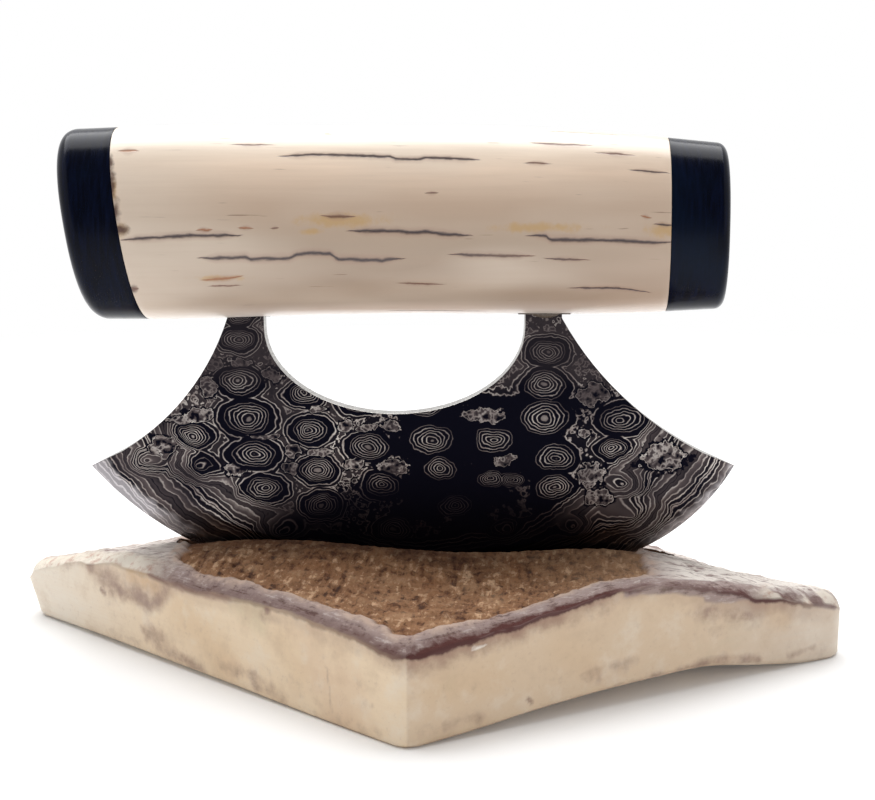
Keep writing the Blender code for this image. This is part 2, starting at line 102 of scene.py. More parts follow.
def spline(values: Sequence[float], share: float) -> float:
    """Read a smooth curve through evenly spaced values."""
    spans = len(values) - 1
    place = min(max(share, 0.0), 1.0) * spans
    k = min(int(place), spans - 1)
    t = place - k
    start, end = values[k], values[k + 1]
    before = values[k - 1] if k > 0 else 2 * start - end
    after = values[k + 2] if k + 2 <= spans else 2 * end - start
    slope_start, slope_end = (end - before) / 2, (after - start) / 2
    rise = end - start
    bend = slope_start + slope_end - 2 * rise
    return start + slope_start * t + (rise - slope_start - bend) * t ** 2 + bend * t ** 3


Adder = Callable[..., Node]
Row = tuple[float, ...]
Pairs = Sequence[tuple[float, float]]
# Property that the second word of a node's kind sets
MODES = {"Math": "operation", "VectorMath": "operation", "Mix": "data_type", "MapRange": "interpolation_type"}
WHITE = (1.0, 1.0, 1.0, 1.0)


class Swatch:
    """A material, or the world, that grows node by node."""

    def __init__(self, name: str, world: bool = False) -> None:
        """Start an empty material or world."""
        self.block = (bpy.data.worlds if world else bpy.data.materials).new(name)
        self.block.use_nodes = True
        self.tree = self.block.node_tree
        self.tree.nodes.clear()

    def add(self, kind: str, *inputs: object, **settings: object) -> Node:
        """Add one node with its settings and links.

        Args:
            kind: The node's type, without its ShaderNode prefix, and after a space its mode.
            inputs: What goes into its usable sockets in order, None to leave one as it is.
            settings: A name in capitals is a socket, with underscores for spaces; stops and
                points fill a ramp or a curve; any other name is a property of the node.

        Returns:
            The new node, which can itself be passed on as an input.
        """
        kind, _, mode = kind.partition(" ")
        made = self.tree.nodes.new("ShaderNode" + kind)
        if mode:
            setattr(made, MODES[kind], mode)
        for name, value in settings.items():
            if name == "stops":
                self._fill_ramp(made.color_ramp, value)
            elif name == "points":
                self._fill_curve(made.mapping, value)
            elif name[0].islower():
                setattr(made, name, value)
        usable = [socket for socket in made.inputs if socket.enabled]
        for socket, value in zip(usable, inputs):
            self._feed(socket, value)
        for name, value in settings.items():
            if name[0].isupper():
                label = name.replace("_", " ")
                self._feed(next(socket for socket in usable if socket.name == label), value)
        return made

    def _feed(self, socket: NodeSocket, value: object) -> None:
        """Link a node or a socket into a socket, or set the socket's own value or hex colour."""
        if value is None:
            return
        if isinstance(value, str):
            value = linear(value)
        if isinstance(value, Node):
            value = next(out for out in value.outputs if out.enabled)
        if isinstance(value, NodeSocket):
            self.tree.links.new(value, socket)
        else:
            socket.default_value = value

    @staticmethod
    def _fill_ramp(ramp: bpy.types.ColorRamp, stops: Sequence[tuple[float, object]]) -> None:
        """Give a ramp its stops, each a place with a hex colour or a grey level."""
        while len(ramp.elements) > 1:
            ramp.elements.remove(ramp.elements[-1])
        for k, (place, tone) in enumerate(stops):
            element = ramp.elements[0] if k == 0 else ramp.elements.new(place)
            element.position = place
            if isinstance(tone, str):
                element.color = linear(tone)
            else:
                element.color = (tone, tone, tone, 1.0)

    @staticmethod
    def _fill_curve(mapping: bpy.types.CurveMapping, points: Pairs) -> None:
        """Give a float curve straight stretches through its points."""
        curve = mapping.curves[0]
        curve.points[0].location = points[0]
        curve.points[-1].location = points[-1]
        for place in points[1:-1]:
            curve.points.new(*place)
        for point in curve.points:
            point.handle_type = "VECTOR"
        mapping.update()

    def millimetres(self) -> Node:
        """Object coordinates in millimetres."""
        return self.add("VectorMath SCALE", self.add("TexCoord").outputs["Object"], Scale=1 / MM)

    def surface(self, shader: Node) -> Material | World:
        """Send a shader to the output and hand the material or world over."""
        self.add("OutputWorld" if isinstance(self.block, World) else "OutputMaterial", Surface=shader)
        return self.block


def patches(add: Adder, place: Node, grain: Row, read: tuple[float, float],
            span: tuple[float, float]) -> Node:
    """Spread soft patches: noise of a scale, detail and roughness, read between two levels."""
    scale, detail, roughness = grain
    cloud = add("TexNoise", place, Scale=scale, Detail=detail, Roughness=roughness)
    return add("MapRange", cloud, *read, *span)


def coats(add: Adder, colour: object, *layers: tuple[object, object]) -> Node:
    """Lay colours over a colour one by one, each by its share."""
    for share, tone in layers:
        colour = add("Mix RGBA", share, colour, tone)
    return colour


def seen_rays(add: Adder) -> Node:
    """1 for a ray that is seen, mirrored or let through, 0 for one that only brings light."""
    path = add("LightPath")
    seen = add("Math MAXIMUM", path.outputs["Is Camera Ray"], path.outputs["Is Glossy Ray"])
    return add("Math MAXIMUM", seen, path.outputs["Is Transmission Ray"])


def nearest_oval(add: Adder, place: Node, ovals: Iterable[Row], blend: float, up: int = 2) -> Node:
    """Distance to the nearest oval across X and another axis, as a share of the oval's size."""
    nearest: Node | None = None
    for x, high, wide, tall in ovals:
        size, middle = [1 / wide, 0.0, 0.0], [-x / wide, 0.0, 0.0]
        size[up], middle[up] = 1 / tall, -high / tall
        reach = add("VectorMath LENGTH", add("VectorMath MULTIPLY_ADD", place, size, middle))
        nearest = reach if nearest is None else add("Math SMOOTH_MIN", nearest, reach, blend)
    return nearest


# Middles of the forged drops on the blade, and the size of each against the commonest one, mm
DROPS = (
    (-33.0, 62.6, 0.62), (-33.5, 58.0, 0.80), (-33.4, 50.2, 1.00), (-32.0, 43.0, 1.14),
    (-30.9, 35.8, 1.12), (-43.2, 39.5, 0.88), (-42.0, 33.5, 0.92), (-29.3, 29.3, 0.96),
    (-21.2, 47.7, 0.86), (-20.5, 40.7, 0.95), (-9.1, 37.4, 0.98), (-18.9, 32.9, 0.86),
    (-6.7, 29.9, 0.92), (3.0, 38.7, 1.14), (4.5, 33.1, 0.98), (-10.5, 46.2, 0.95),
    (1.2, 45.4, 1.00), (-18.2, 26.0, 0.86), (7.2, 25.8, 0.87), (24.2, 49.4, 1.03),
    (24.3, 43.0, 1.21), (26.7, 35.4, 1.09), (26.9, 29.5, 0.98), (14.8, 38.7, 1.09),
    (14.2, 31.1, 0.71), (18.0, 31.0, 0.59), (38.9, 42.6, 1.14), (37.5, 37.0, 0.87),
    (40.0, 29.7, 0.82), (24.8, 55.6, 0.91), (41.5, 23.8, 1.20), (-51.6, 34.4, 0.72),
    (-4.4, 21.0, 0.90), (17.6, 20.6, 0.98), (-25.8, 20.6, 0.86), (30.4, 21.6, 0.80),
)
# Bright islands between the drops: middle, half width and half height, mm
ISLANDS = (
    (47.2, 35.4, 3.8, 2.6), (12.6, 43.6, 4.0, 1.2), (16.8, 34.6, 1.9, 1.0), (32.0, 40.0, 1.2, 0.9),
    (33.4, 47.6, 2.4, 1.9), (33.6, 32.0, 2.3, 2.1), (35.0, 27.4, 2.5, 1.4), (-38.0, 53.2, 1.3, 1.0),
    (-33.6, 53.8, 2.3, 0.7), (-27.4, 51.4, 1.8, 1.4), (-39.4, 49.2, 1.3, 1.7), (-41.6, 43.8, 2.2, 1.3),
    (-45.0, 42.6, 1.9, 0.8), (-48.4, 37.7, 2.4, 1.9), (-29.5, 39.4, 3.2, 0.5), (-23.7, 36.7, 1.3, 1.2),
    (-23.9, 33.2, 1.6, 1.0), (-18.3, 36.4, 1.9, 0.8), (-13.7, 41.6, 1.4, 1.1), (-9.6, 41.0, 1.8, 0.6),
    (-5.0, 41.6, 1.8, 1.2), (-4.7, 33.5, 2.6, 1.4), (-34.7, 32.9, 1.9, 1.2), (-11.5, 34.0, 1.6, 0.9),
    (-19.0, 44.8, 2.1, 0.7),
)


@dataclass(frozen=True)
class EtchedPatternSteel:
    """Raindrop pattern-welded steel, ground flat, etched dark and rubbed back.

    It gives fine silver contour rings on near-black iron: the bright layers stay smooth and a
    touch proud, the dark ones are eaten matt. The ground bevel is polished to a grey strip.
    """

    drop_half_width: float = 4.0        # of the commonest drop, mm
    drop_half_height: float = 2.65
    half_thickness: float = 1.75        # of the blade, mm
    belly_middle: tuple[float, float] = (-1.0, 60.0)
    belly_half_width: float = 62.0      # of the ellipse that the cutting edge follows, mm
    belly_half_height: float = 50.5
    worn: Row = (2.0, 16.0, 34.0, 15.0)    # oval where the etch is rubbed off: middle, half sizes
    fold: float = 1.22                  # depth beyond which the layers repeat, up and down again
    fold_height: float = 1.03
    deepest: float = 2.4
    dark: str = "#0f0f19"
    brown: str = "#625858"
    silver: str = "#e2dcd5"
    warm: str = "#a89b93"
    polished: str = "#c4c0c3"
    ground_dark: str = "#5a5458"
    # Brightness of the layers from the middle of a drop outwards: depth and level
    layers: Pairs = (
        (0.00, 0.45), (0.10, 0.40), (0.13, 0.05), (0.24, 0.05), (0.275, 0.85), (0.31, 0.05),
        (0.40, 0.04), (0.435, 0.85), (0.47, 0.04), (0.56, 0.03), (0.595, 0.78), (0.63, 0.03),
        (0.73, 0.02), (0.765, 0.72), (0.80, 0.02), (0.90, 0.01), (0.93, 0.50), (0.96, 0.0),
        (1.22, 0.0), (1.27, 0.75), (1.32, 0.05), (1.44, 0.06), (1.48, 0.85), (1.53, 0.12),
        (1.66, 0.16), (1.71, 0.62), (1.76, 0.22), (1.95, 0.34), (2.00, 0.62), (2.05, 0.12),
        (2.20, 0.20), (2.25, 0.06))

    def bent(self, add: Adder, place: Node) -> Node:
        """Bend the place as forging bent the layers."""
        bend = add("TexNoise", place, Scale=0.30, Detail=1.5, Roughness=0.5)
        bend = add("VectorMath SUBTRACT", bend.outputs["Color"], (0.5, 0.5, 0.5))
        wobble = add("TexNoise", place, Scale=1.0, Detail=1.5, Roughness=0.5)
        wobble = add("VectorMath SUBTRACT", wobble.outputs["Color"], (0.5, 0.5, 0.5))
        bent = add("VectorMath MULTIPLY_ADD", bend, (2.2, 0.0, 1.6), place)
        return add("VectorMath MULTIPLY_ADD", wobble, (0.55, 0.0, 0.42), bent)

    def depth(self, add: Adder, place: Node, bent: Node, drop: Node) -> Node:
        """Work out how deep in the billet the ground face lies."""
        belly = (*self.belly_middle, self.belly_half_width, self.belly_half_height)
        reach = nearest_oval(add, bent, [belly], 0.0)
        height = add("Math SMOOTH_MIN", drop, self.plateau(add, place, bent, reach), 0.10)
        height = add("Math ADD", height, add("MapRange", reach, 0.80, 1.14, 0.0, 4.6))
        return add("Math ADD", height, patches(add, place, (0.07, 1.0, 0.5), (0.3, 0.7), (-0.12, 0.16)))

    def plateau(self, add: Adder, place: Node, bent: Node, reach: Node) -> Node:
        """Work out the depth between the drops, which is lumpy on the left and flat on the right.

        Args:
            add: Adds a node to the material.
            place: Object coordinates in millimetres.
            bent: The same, bent as the drops are.
            reach: Distance from the middle of the belly, 1 on the cutting edge.

        Returns:
            Depth that the drops are sunk from.
        """
        along = add("SeparateXYZ", place)
        share = add("MapRange", along.outputs["X"], -62.0, 62.0, 0.0, 1.0)
        level = add("FloatCurve", None, share, points=(
            (0.0, 0.70), (0.18, 0.76), (0.36, 0.72), (0.44, 0.54), (0.50, 0.41), (0.70, 0.41),
            (0.78, 0.56), (0.86, 0.70), (1.0, 0.72)))
        level = add("Math MULTIPLY_ADD", level, 2.0, 0.20)
        swing = add("FloatCurve", None, share, points=(
            (0.0, 0.24), (0.40, 0.28), (0.50, 0.08), (0.70, 0.08), (0.80, 0.22), (1.0, 0.26)))
        neck = add("MapRange SMOOTHSTEP", along.outputs["Z"], 45.5, 51.0, 0.0, 1.0)
        level = add("Mix FLOAT", neck, level, 1.62)
        swing = add("Mix FLOAT", neck, swing, 0.20)
        swing = add("Math MULTIPLY", swing, add("MapRange", reach, 0.72, 0.88, 1.0, 0.14))
        lumps = patches(add, bent, (0.50, 2.0, 0.5), (0.28, 0.72), (-0.80, 0.80))
        level = add("Math MULTIPLY_ADD", lumps, swing, level)
        crumbs = patches(add, place, (1.1, 1.0, 0.5), (0.3, 0.7), (-0.42, 0.42))
        return add("Math MULTIPLY_ADD", crumbs, swing, level)

    def islands(self, add: Adder, place: Node, bent: Node, drop: Node, line: object) -> Node:
        """Lay the mottled islands between the drops over the contour lines."""
        rag = patches(add, place, (0.70, 2.0, 0.5), (0.3, 0.7), (-0.36, 0.36))
        isle = add("Math ADD", nearest_oval(add, bent, ISLANDS, 0.3), rag)
        mottle = add("TexNoise", place, Scale=0.95, Detail=1.5, Roughness=0.5)
        mottle = add("ValToRGB", mottle, stops=(
            (0.34, 0.02), (0.41, 0.20), (0.50, 0.30), (0.55, 0.48), (0.60, 0.52), (0.66, 0.32), (0.72, 0.14)))
        share = add("Math DIVIDE", isle, 2.0)
        laid = add("ValToRGB", share, stops=((0.0, 1.0), (0.64, 1.0), (0.70, 0.0)))
        inner = add("ValToRGB", share, stops=((0.0, 1.0), (0.49, 1.0), (0.51, 0.0)))
        rim = add("ValToRGB", share, stops=((0.48, 0.0), (0.515, 0.82), (0.55, 0.0)))
        mottle = add("Math MAXIMUM", add("Mix FLOAT", inner, 0.02, mottle), rim)
        return add("Mix FLOAT", add("Math MULTIPLY", laid, add("MapRange", drop, 1.04, 1.16)), line, mottle)

    def make(self) -> Material:
        """Build the material of the blade's faces."""
        swatch = Swatch("etched_pattern_steel")
        add = swatch.add
        place = swatch.millimetres()
        bent = self.bent(add, place)
        drops = [(x, z, self.drop_half_width * size, self.drop_half_height * size) for x, z, size in DROPS]
        drop = nearest_oval(add, bent, drops, 0.16)
        depth = self.depth(add, place, bent, drop)
        beyond = add("Math MAXIMUM", add("Math SUBTRACT", depth, self.fold), 0.0)
        beyond = add("Math PINGPONG", beyond, self.fold_height)
        depth = add("Math ADD", add("Math MINIMUM", depth, self.fold), beyond)
        share = add("Math DIVIDE", depth, self.deepest)
        line = add("ValToRGB", share, stops=[
            (place_in / self.deepest, level) for place_in, level in self.layers])
        line = self.islands(add, place, bent, drop, add("SeparateColor", line).outputs["Red"])
        wear = patches(add, place, (0.10, 2.0, 0.5), (0.34, 0.66), (0.55, 1.0))
        split = add("SeparateXYZ", place)
        dull = nearest_oval(add, place, [self.worn], 0.0)
        wear = add("Math MULTIPLY", wear, add("MapRange SMOOTHSTEP", dull, 0.75, 1.25, 0.18, 1.0))
        bright = add("Math MULTIPLY", line, wear, use_clamp=True)
        bright = add("Mix FLOAT", add("MapRange", split.outputs["Z"], 46.0, 53.0, 0.0, 0.50), bright, 0.13)
        patch = add("MapRange", add("TexNoise", place, Scale=0.6, Detail=3.0, Roughness=0.6), 0.40, 0.72)
        metal = add("Mix RGBA", patch, self.silver, self.warm)
        colour = add("ValToRGB", bright, stops=((0.03, self.dark), (0.36, self.brown)))
        ground = add("Math SUBTRACT", self.half_thickness, add("Math ABSOLUTE", split.outputs["Y"]))
        cloud = patches(add, place, (0.40, 2.0, 0.5), (0.3, 0.7), (-0.10, 0.10))
        along = add("MapRange", split.outputs["X"], -62.0, 62.0)
        narrow = add("FloatCurve", None, along, points=(
            (0.0, 0.86), (0.14, 0.84), (0.30, 0.70), (0.84, 0.66), (0.94, 0.60), (1.0, 0.52)))
        strip = add("Math MULTIPLY_ADD", ground, narrow, cloud)
        strip = add("MapRange SMOOTHSTEP", strip, 0.62, 0.96, 0.0, 1.0)
        ends = add("FloatCurve", None, along, points=(
            (0.0, 0.84), (0.12, 0.84), (0.24, 0.40), (0.34, 0.06), (0.72, 0.05), (0.82, 0.50), (0.90, 0.92),
            (1.0, 0.78)))
        strip = add("Math MULTIPLY", strip, ends)
        ghost = add("Mix RGBA", add("MapRange", line, 0.02, 0.55, 0.55, 0.0), self.polished, self.ground_dark)
        colour = coats(add, colour, (add("MapRange", bright, 0.25, 0.82), metal), (strip, ghost))
        rough = add("Mix FLOAT", strip, add("MapRange", bright, 0.0, 1.0, 0.40, 0.27), 0.24)
        relief = add("Bump", 0.25, 0.05 * MM, Height=bright)
        shader = add("BsdfPrincipled", Base_Color=colour, Metallic=1.0, Roughness=rough, Normal=relief)
        return swatch.surface(shader)


@dataclass(frozen=True)
class SatinSteelWall:
    """The same steel on the blade's narrow walls, filed and polished bright.

    It gives the clean silver line round the finger opening, with faint file marks.
    """

    colour: str = "#bdbab6"
    shadow: str = "#7d7974"

    def make(self) -> Material:
        """Build the material of the blade's walls."""
        swatch = Swatch("satin_steel_wall")
        add = swatch.add
        place = swatch.millimetres()
        stretch = add("Mapping", place, Scale=(3.0, 0.6, 3.0))
        marks = add("TexNoise", stretch, Scale=1.0, Detail=3.0, Roughness=0.6)
        colour = add("Mix RGBA", add("MapRange", marks, 0.35, 0.75), self.colour, self.shadow)
        rough = add("MapRange", marks, 0.3, 0.7, 0.22, 0.36)
        relief = add("Bump", 0.2, 0.05 * MM, Height=marks)
        return swatch.surface(add(
            "BsdfPrincipled", Base_Color=colour, Metallic=1.0, Roughness=rough, Normal=relief))


@dataclass(frozen=True)
class CrackRow:
    """Age cracks that lie end to end along the handle.

    Each crack is a run of (millimetres along X, degrees round the handle from the front), with the
    colour of what has settled in it and its half width in degrees.
    """

    cracks: tuple[tuple[str, float, Pairs], ...]


INK = "#22101f"
TEA = "#6e4a38"
RUST = "#a0653a"
CRACK_ROWS = (
    CrackRow((
        (INK, 1.25, ((-24.6, 40.1), (-17.8, 41.6), (-4.4, 40.6), (-3.3, 39.0), (0.7, 39.0), (1.8, 40.2),
                     (6.6, 39.9), (12.0, 39.4))),
        (TEA, 0.8, ((18.8, 38.0), (24.6, 38.0))),
        (TEA, 1.2, ((31.6, 48.1), (39.7, 46.9))))),
    CrackRow((
        (RUST, 1.5, ((-52.6, 44.6), (-48.6, 44.2))),
        (TEA, 0.9, ((-33.4, 48.5), (-24.1, 49.0))),
        (RUST, 0.9, ((-16.6, 60.6), (-14.7, 60.6))),
        (TEA, 1.3, ((20.1, 54.2), (26.2, 53.4), (32.1, 54.4))),
        (INK, 1.0, ((37.4, 35.7), (42.3, 35.0), (45.5, 34.3))))),
    CrackRow((
        (RUST, 0.9, ((-35.8, 67.3), (-32.6, 67.7))),
        (TEA, 0.7, ((1.5, 18.5), (4.4, 18.6))),
        (RUST, 0.9, ((39.8, 5.6), (41.9, 4.2))))),
    CrackRow((
        (RUST, 0.8, ((-38.6, -3.0), (-35.3, -3.0))),
        (RUST, 0.8, ((-31.2, -1.9), (-28.1, -1.9))),
        (TEA, 0.6, ((-25.4, -1.9), (-23.7, -1.9))),
        (TEA, 1.3, ((-16.8, 4.8), (-10.1, 4.9))),
        (INK, 1.0, ((42.0, 0.1), (46.2, -0.8))))),
    CrackRow((
        (INK, 1.3, ((-52.4, -8.9), (-46.4, -7.4), (-39.3, -6.0), (-29.9, -6.0))),
        (INK, 1.5, ((-12.4, -3.7), (-3.0, -3.8), (-1.2, -4.9), (1.8, -4.2), (5.9, -6.1), (10.6, -6.7))),
        (INK, 1.6, ((19.2, -7.2), (23.2, -7.0), (23.9, -9.3), (36.4, -10.5), (42.8, -12.2),
                    (46.2, -11.7))))),
    CrackRow((
        (INK, 1.5, ((-38.8, -19.0), (-29.7, -18.5), (-29.3, -19.6), (-22.1, -19.4), (-21.0, -17.2),
                    (-18.5, -16.4), (-14.8, -17.1), (-13.8, -20.1), (-5.7, -21.3), (-5.1, -20.5),
                    (-1.3, -20.3))),
        (INK, 1.3, ((5.5, -18.1), (21.8, -19.7))),
        (TEA, 1.0, ((22.4, -21.1), (31.7, -22.9))))),
    CrackRow((
        (TEA, 1.2, ((-50.7, -38.2), (-49.4, -38.1))),
        (RUST, 1.2, ((-38.5, -32.1), (-34.4, -31.6), (-30.2, -29.2))),
        (TEA, 0.9, ((-3.8, -36.5), (5.9, -37.7))),
        (INK, 1.0, ((26.9, -41.6), (36.5, -42.5), (43.2, -47.5))))),
    CrackRow((
        (TEA, 0.6, ((-37.6, -36.2), (-30.4, -36.0))),
        (TEA, 0.8, ((-6.0, -66.0), (14.0, -68.0))),
        (TEA, 0.7, ((22.0, 72.0), (38.0, 74.0))))),
)
# Stains: middle along X in mm and in degrees, half length in mm, half height in degrees
YELLOW_STAINS = (
    (-12.8, 2.6, 8.5, 4.6), (22.1, -2.0, 9.6, 3.4), (44.4, -4.0, 3.4, 5.5), (-18.4, -4.0, 2.4, 2.2),
    (-52.8, 20.0, 0.6, 7.0), (-52.2, -3.0, 1.6, 5.0), (-35.0, -31.0, 5.0, 2.2),
)
JOINT_STAINS = (
    (-53.3, 22.0, 0.95, 11.0), (-52.6, 6.0, 1.05, 9.0), (-52.1, -3.0, 1.80, 3.6), (-50.6, -38.0, 1.00, 3.2),
    (-53.6, 36.0, 0.75, 7.0),
)


@dataclass(frozen=True)
class PolishedAgedIvory:
    """Old walrus ivory, filed to shape and buffed to a gloss.

    It gives a warm cream with painted light round the handle: painted shade darkens the lower front to
    pinkish tan, painted top light whitens the top, and a painted reflection of the floor whitens a rim
    under the belly. Thin dark age cracks run along the grain, some with a yellow halo.
    """

    axis_height: float = 80.0           # of the middle that degrees are counted round, mm
    half_height: float = 17.5
    half_depth: float = 13.8
    reach: float = 62.0                 # half the length that the crack rows cover, mm
    arc: float = 80.0                   # degrees above and below the front that they cover
    tan: str = "#c3a790"
    pale: str = "#ecdcca"
    yellow: str = "#c99f5c"
    halo: str = "#a98272"
    seep: str = "#4f2c1e"
    # Painted light round the handle, from the belly up over the front to the back's start: degrees, colour.
    # The near-white under the belly is a painted reflection of the floor, the tan over the lower front is
    # painted shade, and the pale cream towards the top is painted top light.
    painted_light_bands: tuple[tuple[float, str], ...] = (
        (-80.0, "#fffaf4"), (-69.0, "#fdf1e7"), (-60.0, "#dccabc"), (-52.0, "#b9a492"), (-45.0, "#b09a87"),
        (-12.0, "#bba590"), (12.0, "#d0b69f"), (34.0, "#fbe2ca"), (60.0, "#fbeedc"))

    def round_place(self, add: Adder, place: Node) -> tuple[Node, Node]:
        """Place along the handle and round it, with the back half a mirrored copy of the front."""
        split = add("SeparateXYZ", place)
        front = add("Math MULTIPLY", split.outputs["Y"], -1.0)
        along = add("Math MULTIPLY", split.outputs["X"], add("Math SIGN", front))
        depth = add("Math DIVIDE", add("Math ABSOLUTE", front), self.half_depth)
        height = add("Math SUBTRACT", split.outputs["Z"], self.axis_height)
        turn = add("Math ARCTAN2", add("Math DIVIDE", height, self.half_height), depth)
        return along, add("Math DEGREES", turn)

    def row(self, add: Adder, cracks: CrackRow, along: Node, turn: Node) -> tuple[Node, Node, Node]:
        """Draw one row of cracks.

        Args:
            add: Adds a node to the material.
            cracks: The row.
            along: Share of the way along the handle.
            turn: Degrees round it, roughened a little.

        Returns:
            The row's strength, that of the faint halo round it, and its colour.
        """
        line: list[tuple[float, float]] = [(0.0, 0.5)]
        width: list[tuple[float, float]] = [(0.0, 0.0)]
        stops: list[tuple[float, object]] = []
        for colour, half_width, points in cracks.cracks:
            places = [((x + self.reach) / (2 * self.reach), (angle + self.arc) / (2 * self.arc))
                      for x, angle in points]
            start, end = places[0][0], places[-1][0]
            taper = min(0.4 * (end - start), 0.030)
            line += places
            width += [(start, 0.0), (start + taper, half_width / 2),
                      (end - taper, half_width / 2), (end, 0.0)]
            stops += [(start - 0.004, colour), (end + 0.004, colour)]
        line.append((1.0, 0.5))
        width.append((1.0, 0.0))
        middle = add("FloatCurve", None, along, points=line)
        away = add("Math SUBTRACT", turn, add("Math MULTIPLY_ADD", middle, 2 * self.arc, -self.arc))
        away = add("Math ABSOLUTE", away)
        half = add("Math MULTIPLY_ADD", add("FloatCurve", None, along, points=width), 2.0, 0.02)
        away = add("Math DIVIDE", away, half)
        there = add("MapRange", half, 0.04, 0.30)
        strength = add("MapRange SMOOTHSTEP", away, 1.20, 0.0, 0.0, there)
        halo = add("MapRange SMOOTHSTEP", away, 2.8, 0.6, 0.0, add("Math MULTIPLY", there, 0.36))
        return strength, halo, add("ValToRGB", along, stops=stops)

    def make(self) -> Material:
        """Build the material of the handle's barrel."""
        swatch = Swatch("polished_aged_ivory")
        add = swatch.add
        place = swatch.millimetres()
        along, turn = self.round_place(add, place)
        # painted light: the base colour follows the turn round the handle, with painted shade on the lower
        # front, painted top light and a painted floor reflection under the belly
        round_share = add("MapRange", turn, -90.0, 90.0)
        colour = add("ValToRGB", round_share, stops=[
            ((angle + 90.0) / 180.0, tone) for angle, tone in self.painted_light_bands])
        drawn = add("Mapping", place, Scale=(0.020, 0.07, 0.07))
        broad = add("TexNoise", drawn, Scale=1.0, Detail=2.0, Roughness=0.5)
        fine = add("Mapping", place, Scale=(0.05, 1.1, 1.1))
        spot = add("CombineXYZ", along, turn)
        colour = coats(
            add, colour, (add("MapRange", broad, 0.50, 0.70, 0.0, 0.55), self.pale),
            (add("MapRange", broad, 0.48, 0.32, 0.0, 0.20), self.tan),
            (add("MapRange SMOOTHSTEP", along, -24.0, -52.0, 0.0, 0.60), self.pale),
            (add("MapRange SMOOTHSTEP", along, 15.0, 46.0, 0.0, 0.38), self.tan),
            (patches(add, fine, (1.0, 3.0, 0.55), (0.40, 0.75), (0.0, 0.16)), self.tan),
            (self.stains(add, YELLOW_STAINS, 0.62, spot, place), self.yellow),
            (self.stains(add, JOINT_STAINS, 0.95, spot, place), self.seep))
        drawn = add("Mapping", place, Scale=(0.5, 1.0, 1.0))
        ragged = add("Math ADD", turn, patches(add, drawn, (1.0, 2.0, 0.5), (0.3, 0.7), (-0.38, 0.38)))
        share = add("MapRange", along, -self.reach, self.reach)
        deepest: Node | None = None
        for cracks in CRACK_ROWS:
            strength, halo, tone = self.row(add, cracks, share, ragged)
            colour = coats(add, colour, (halo, self.halo), (add("Math MULTIPLY", strength, 0.93), tone))
            deepest = strength if deepest is None else add("Math MAXIMUM", deepest, strength)
        fine = add("Mapping", place, Scale=(0.10, 2.2, 2.2))
        colour = add("Mix RGBA", patches(add, fine, (1.0, 2.0, 0.5), (0.715, 0.76), (0.0, 0.5)), colour, TEA)
        relief = add("Bump", 0.5, 0.10 * MM, Height=add("Math SUBTRACT", 1.0, deepest))
        rough = add("MapRange", broad, 0.3, 0.7, 0.26, 0.34)
        shader = add("BsdfPrincipled", Base_Color=colour, Roughness=rough, IOR=1.54,
                     Coat_Weight=0.3, Coat_Roughness=0.26, Normal=relief)
        return swatch.surface(shader)

    def stains(self, add: Adder, spots: Iterable[Row], most: float, spot: Node, place: Node) -> Node:
        """Spread one kind of stain."""
        reach = nearest_oval(add, spot, spots, 0.2, up=1)
        reach = add("Math ADD", reach, patches(add, place, (0.5, 3.0, 0.6), (0.3, 0.7), (-0.35, 0.35)))
        return add("MapRange SMOOTHSTEP", reach, 1.25, 0.2, 0.0, most)


@dataclass(frozen=True)
class BuffedBlackHorn:
    """Black horn, sawn from the solid and buffed to a high gloss.

    It gives a deep blue-black with streaks that hardly show and crisp grey reflections.
    """

    black: str = "#000313"
    streak: str = "#030c26"
    cloud: str = "#05172c"

    def make(self) -> Material:
        """Build the material of the end caps."""
        swatch = Swatch("buffed_black_horn")
        add = swatch.add
        place = swatch.millimetres()
        drawn = add("Mapping", place, Scale=(1.4, 0.16, 0.16), Rotation=(0.0, math.radians(8), 0.0))
        grain = add("TexNoise", drawn, Scale=1.0, Detail=4.0, Roughness=0.6)
        colour = add("ValToRGB", grain, stops=((0.42, self.black), (0.72, self.streak)))
        cloud = patches(add, place, (0.05, 2.0, 0.5), (0.46, 0.66), (0.0, 0.6))
        colour = add("Mix RGBA", cloud, colour, self.cloud)
        rough = add("MapRange", grain, 0.3, 0.7, 0.17, 0.25)
        scuff = add("TexNoise", place, Scale=0.9, Detail=5.0, Roughness=0.7)
        relief = add("Bump", 0.08, 0.05 * MM, Height=scuff)
        return swatch.surface(add(
            "BsdfPrincipled", Base_Color=colour, Roughness=rough, IOR=1.54, Specular_IOR_Level=0.10,
            Normal=relief))


@dataclass(frozen=True)
class SquashedEpoxy:
    """Filled epoxy that set where it was squeezed out round a tang.

    It gives an olive-tan bead, half gloss, with specks of dust in it.
    """

    tan: str = "#51463d"
    dust: str = "#716559"

    def make(self) -> Material:
        """Build the material of the two beddings."""
        swatch = Swatch("squashed_epoxy")
        add = swatch.add
        place = swatch.millimetres()
        speck = add("TexNoise", place, Scale=2.4, Detail=4.0, Roughness=0.7)
        colour = add("ValToRGB", speck, stops=((0.38, self.tan), (0.66, self.dust)))
        relief = add("Bump", 0.35, 0.1 * MM, Height=speck)
        return swatch.surface(add("BsdfPrincipled", Base_Color=colour, Roughness=0.38, Normal=relief))


@dataclass(frozen=True)
class DrawnBrassRod:
    """Brass rod, drawn and cut to length, with fine lines along it and a little tarnish."""

    brass: str = "#c8a45a"
    tarnish: str = "#8a6c38"

    def make(self) -> Material:
        """Build the material of the hidden dowels."""
        swatch = Swatch("drawn_brass_rod")
        add = swatch.add
        place = swatch.millimetres()
        drawn = add("Mapping", place, Scale=(0.12, 6.0, 6.0))
        lines = add("TexNoise", drawn, Scale=1.0, Detail=3.0, Roughness=0.6)
        colour = add("ValToRGB", lines, stops=((0.35, self.brass), (0.75, self.tarnish)))
        rough = add("MapRange", lines, 0.3, 0.7, 0.24, 0.40)
        return swatch.surface(add("BsdfPrincipled", Base_Color=colour, Metallic=1.0, Roughness=rough))


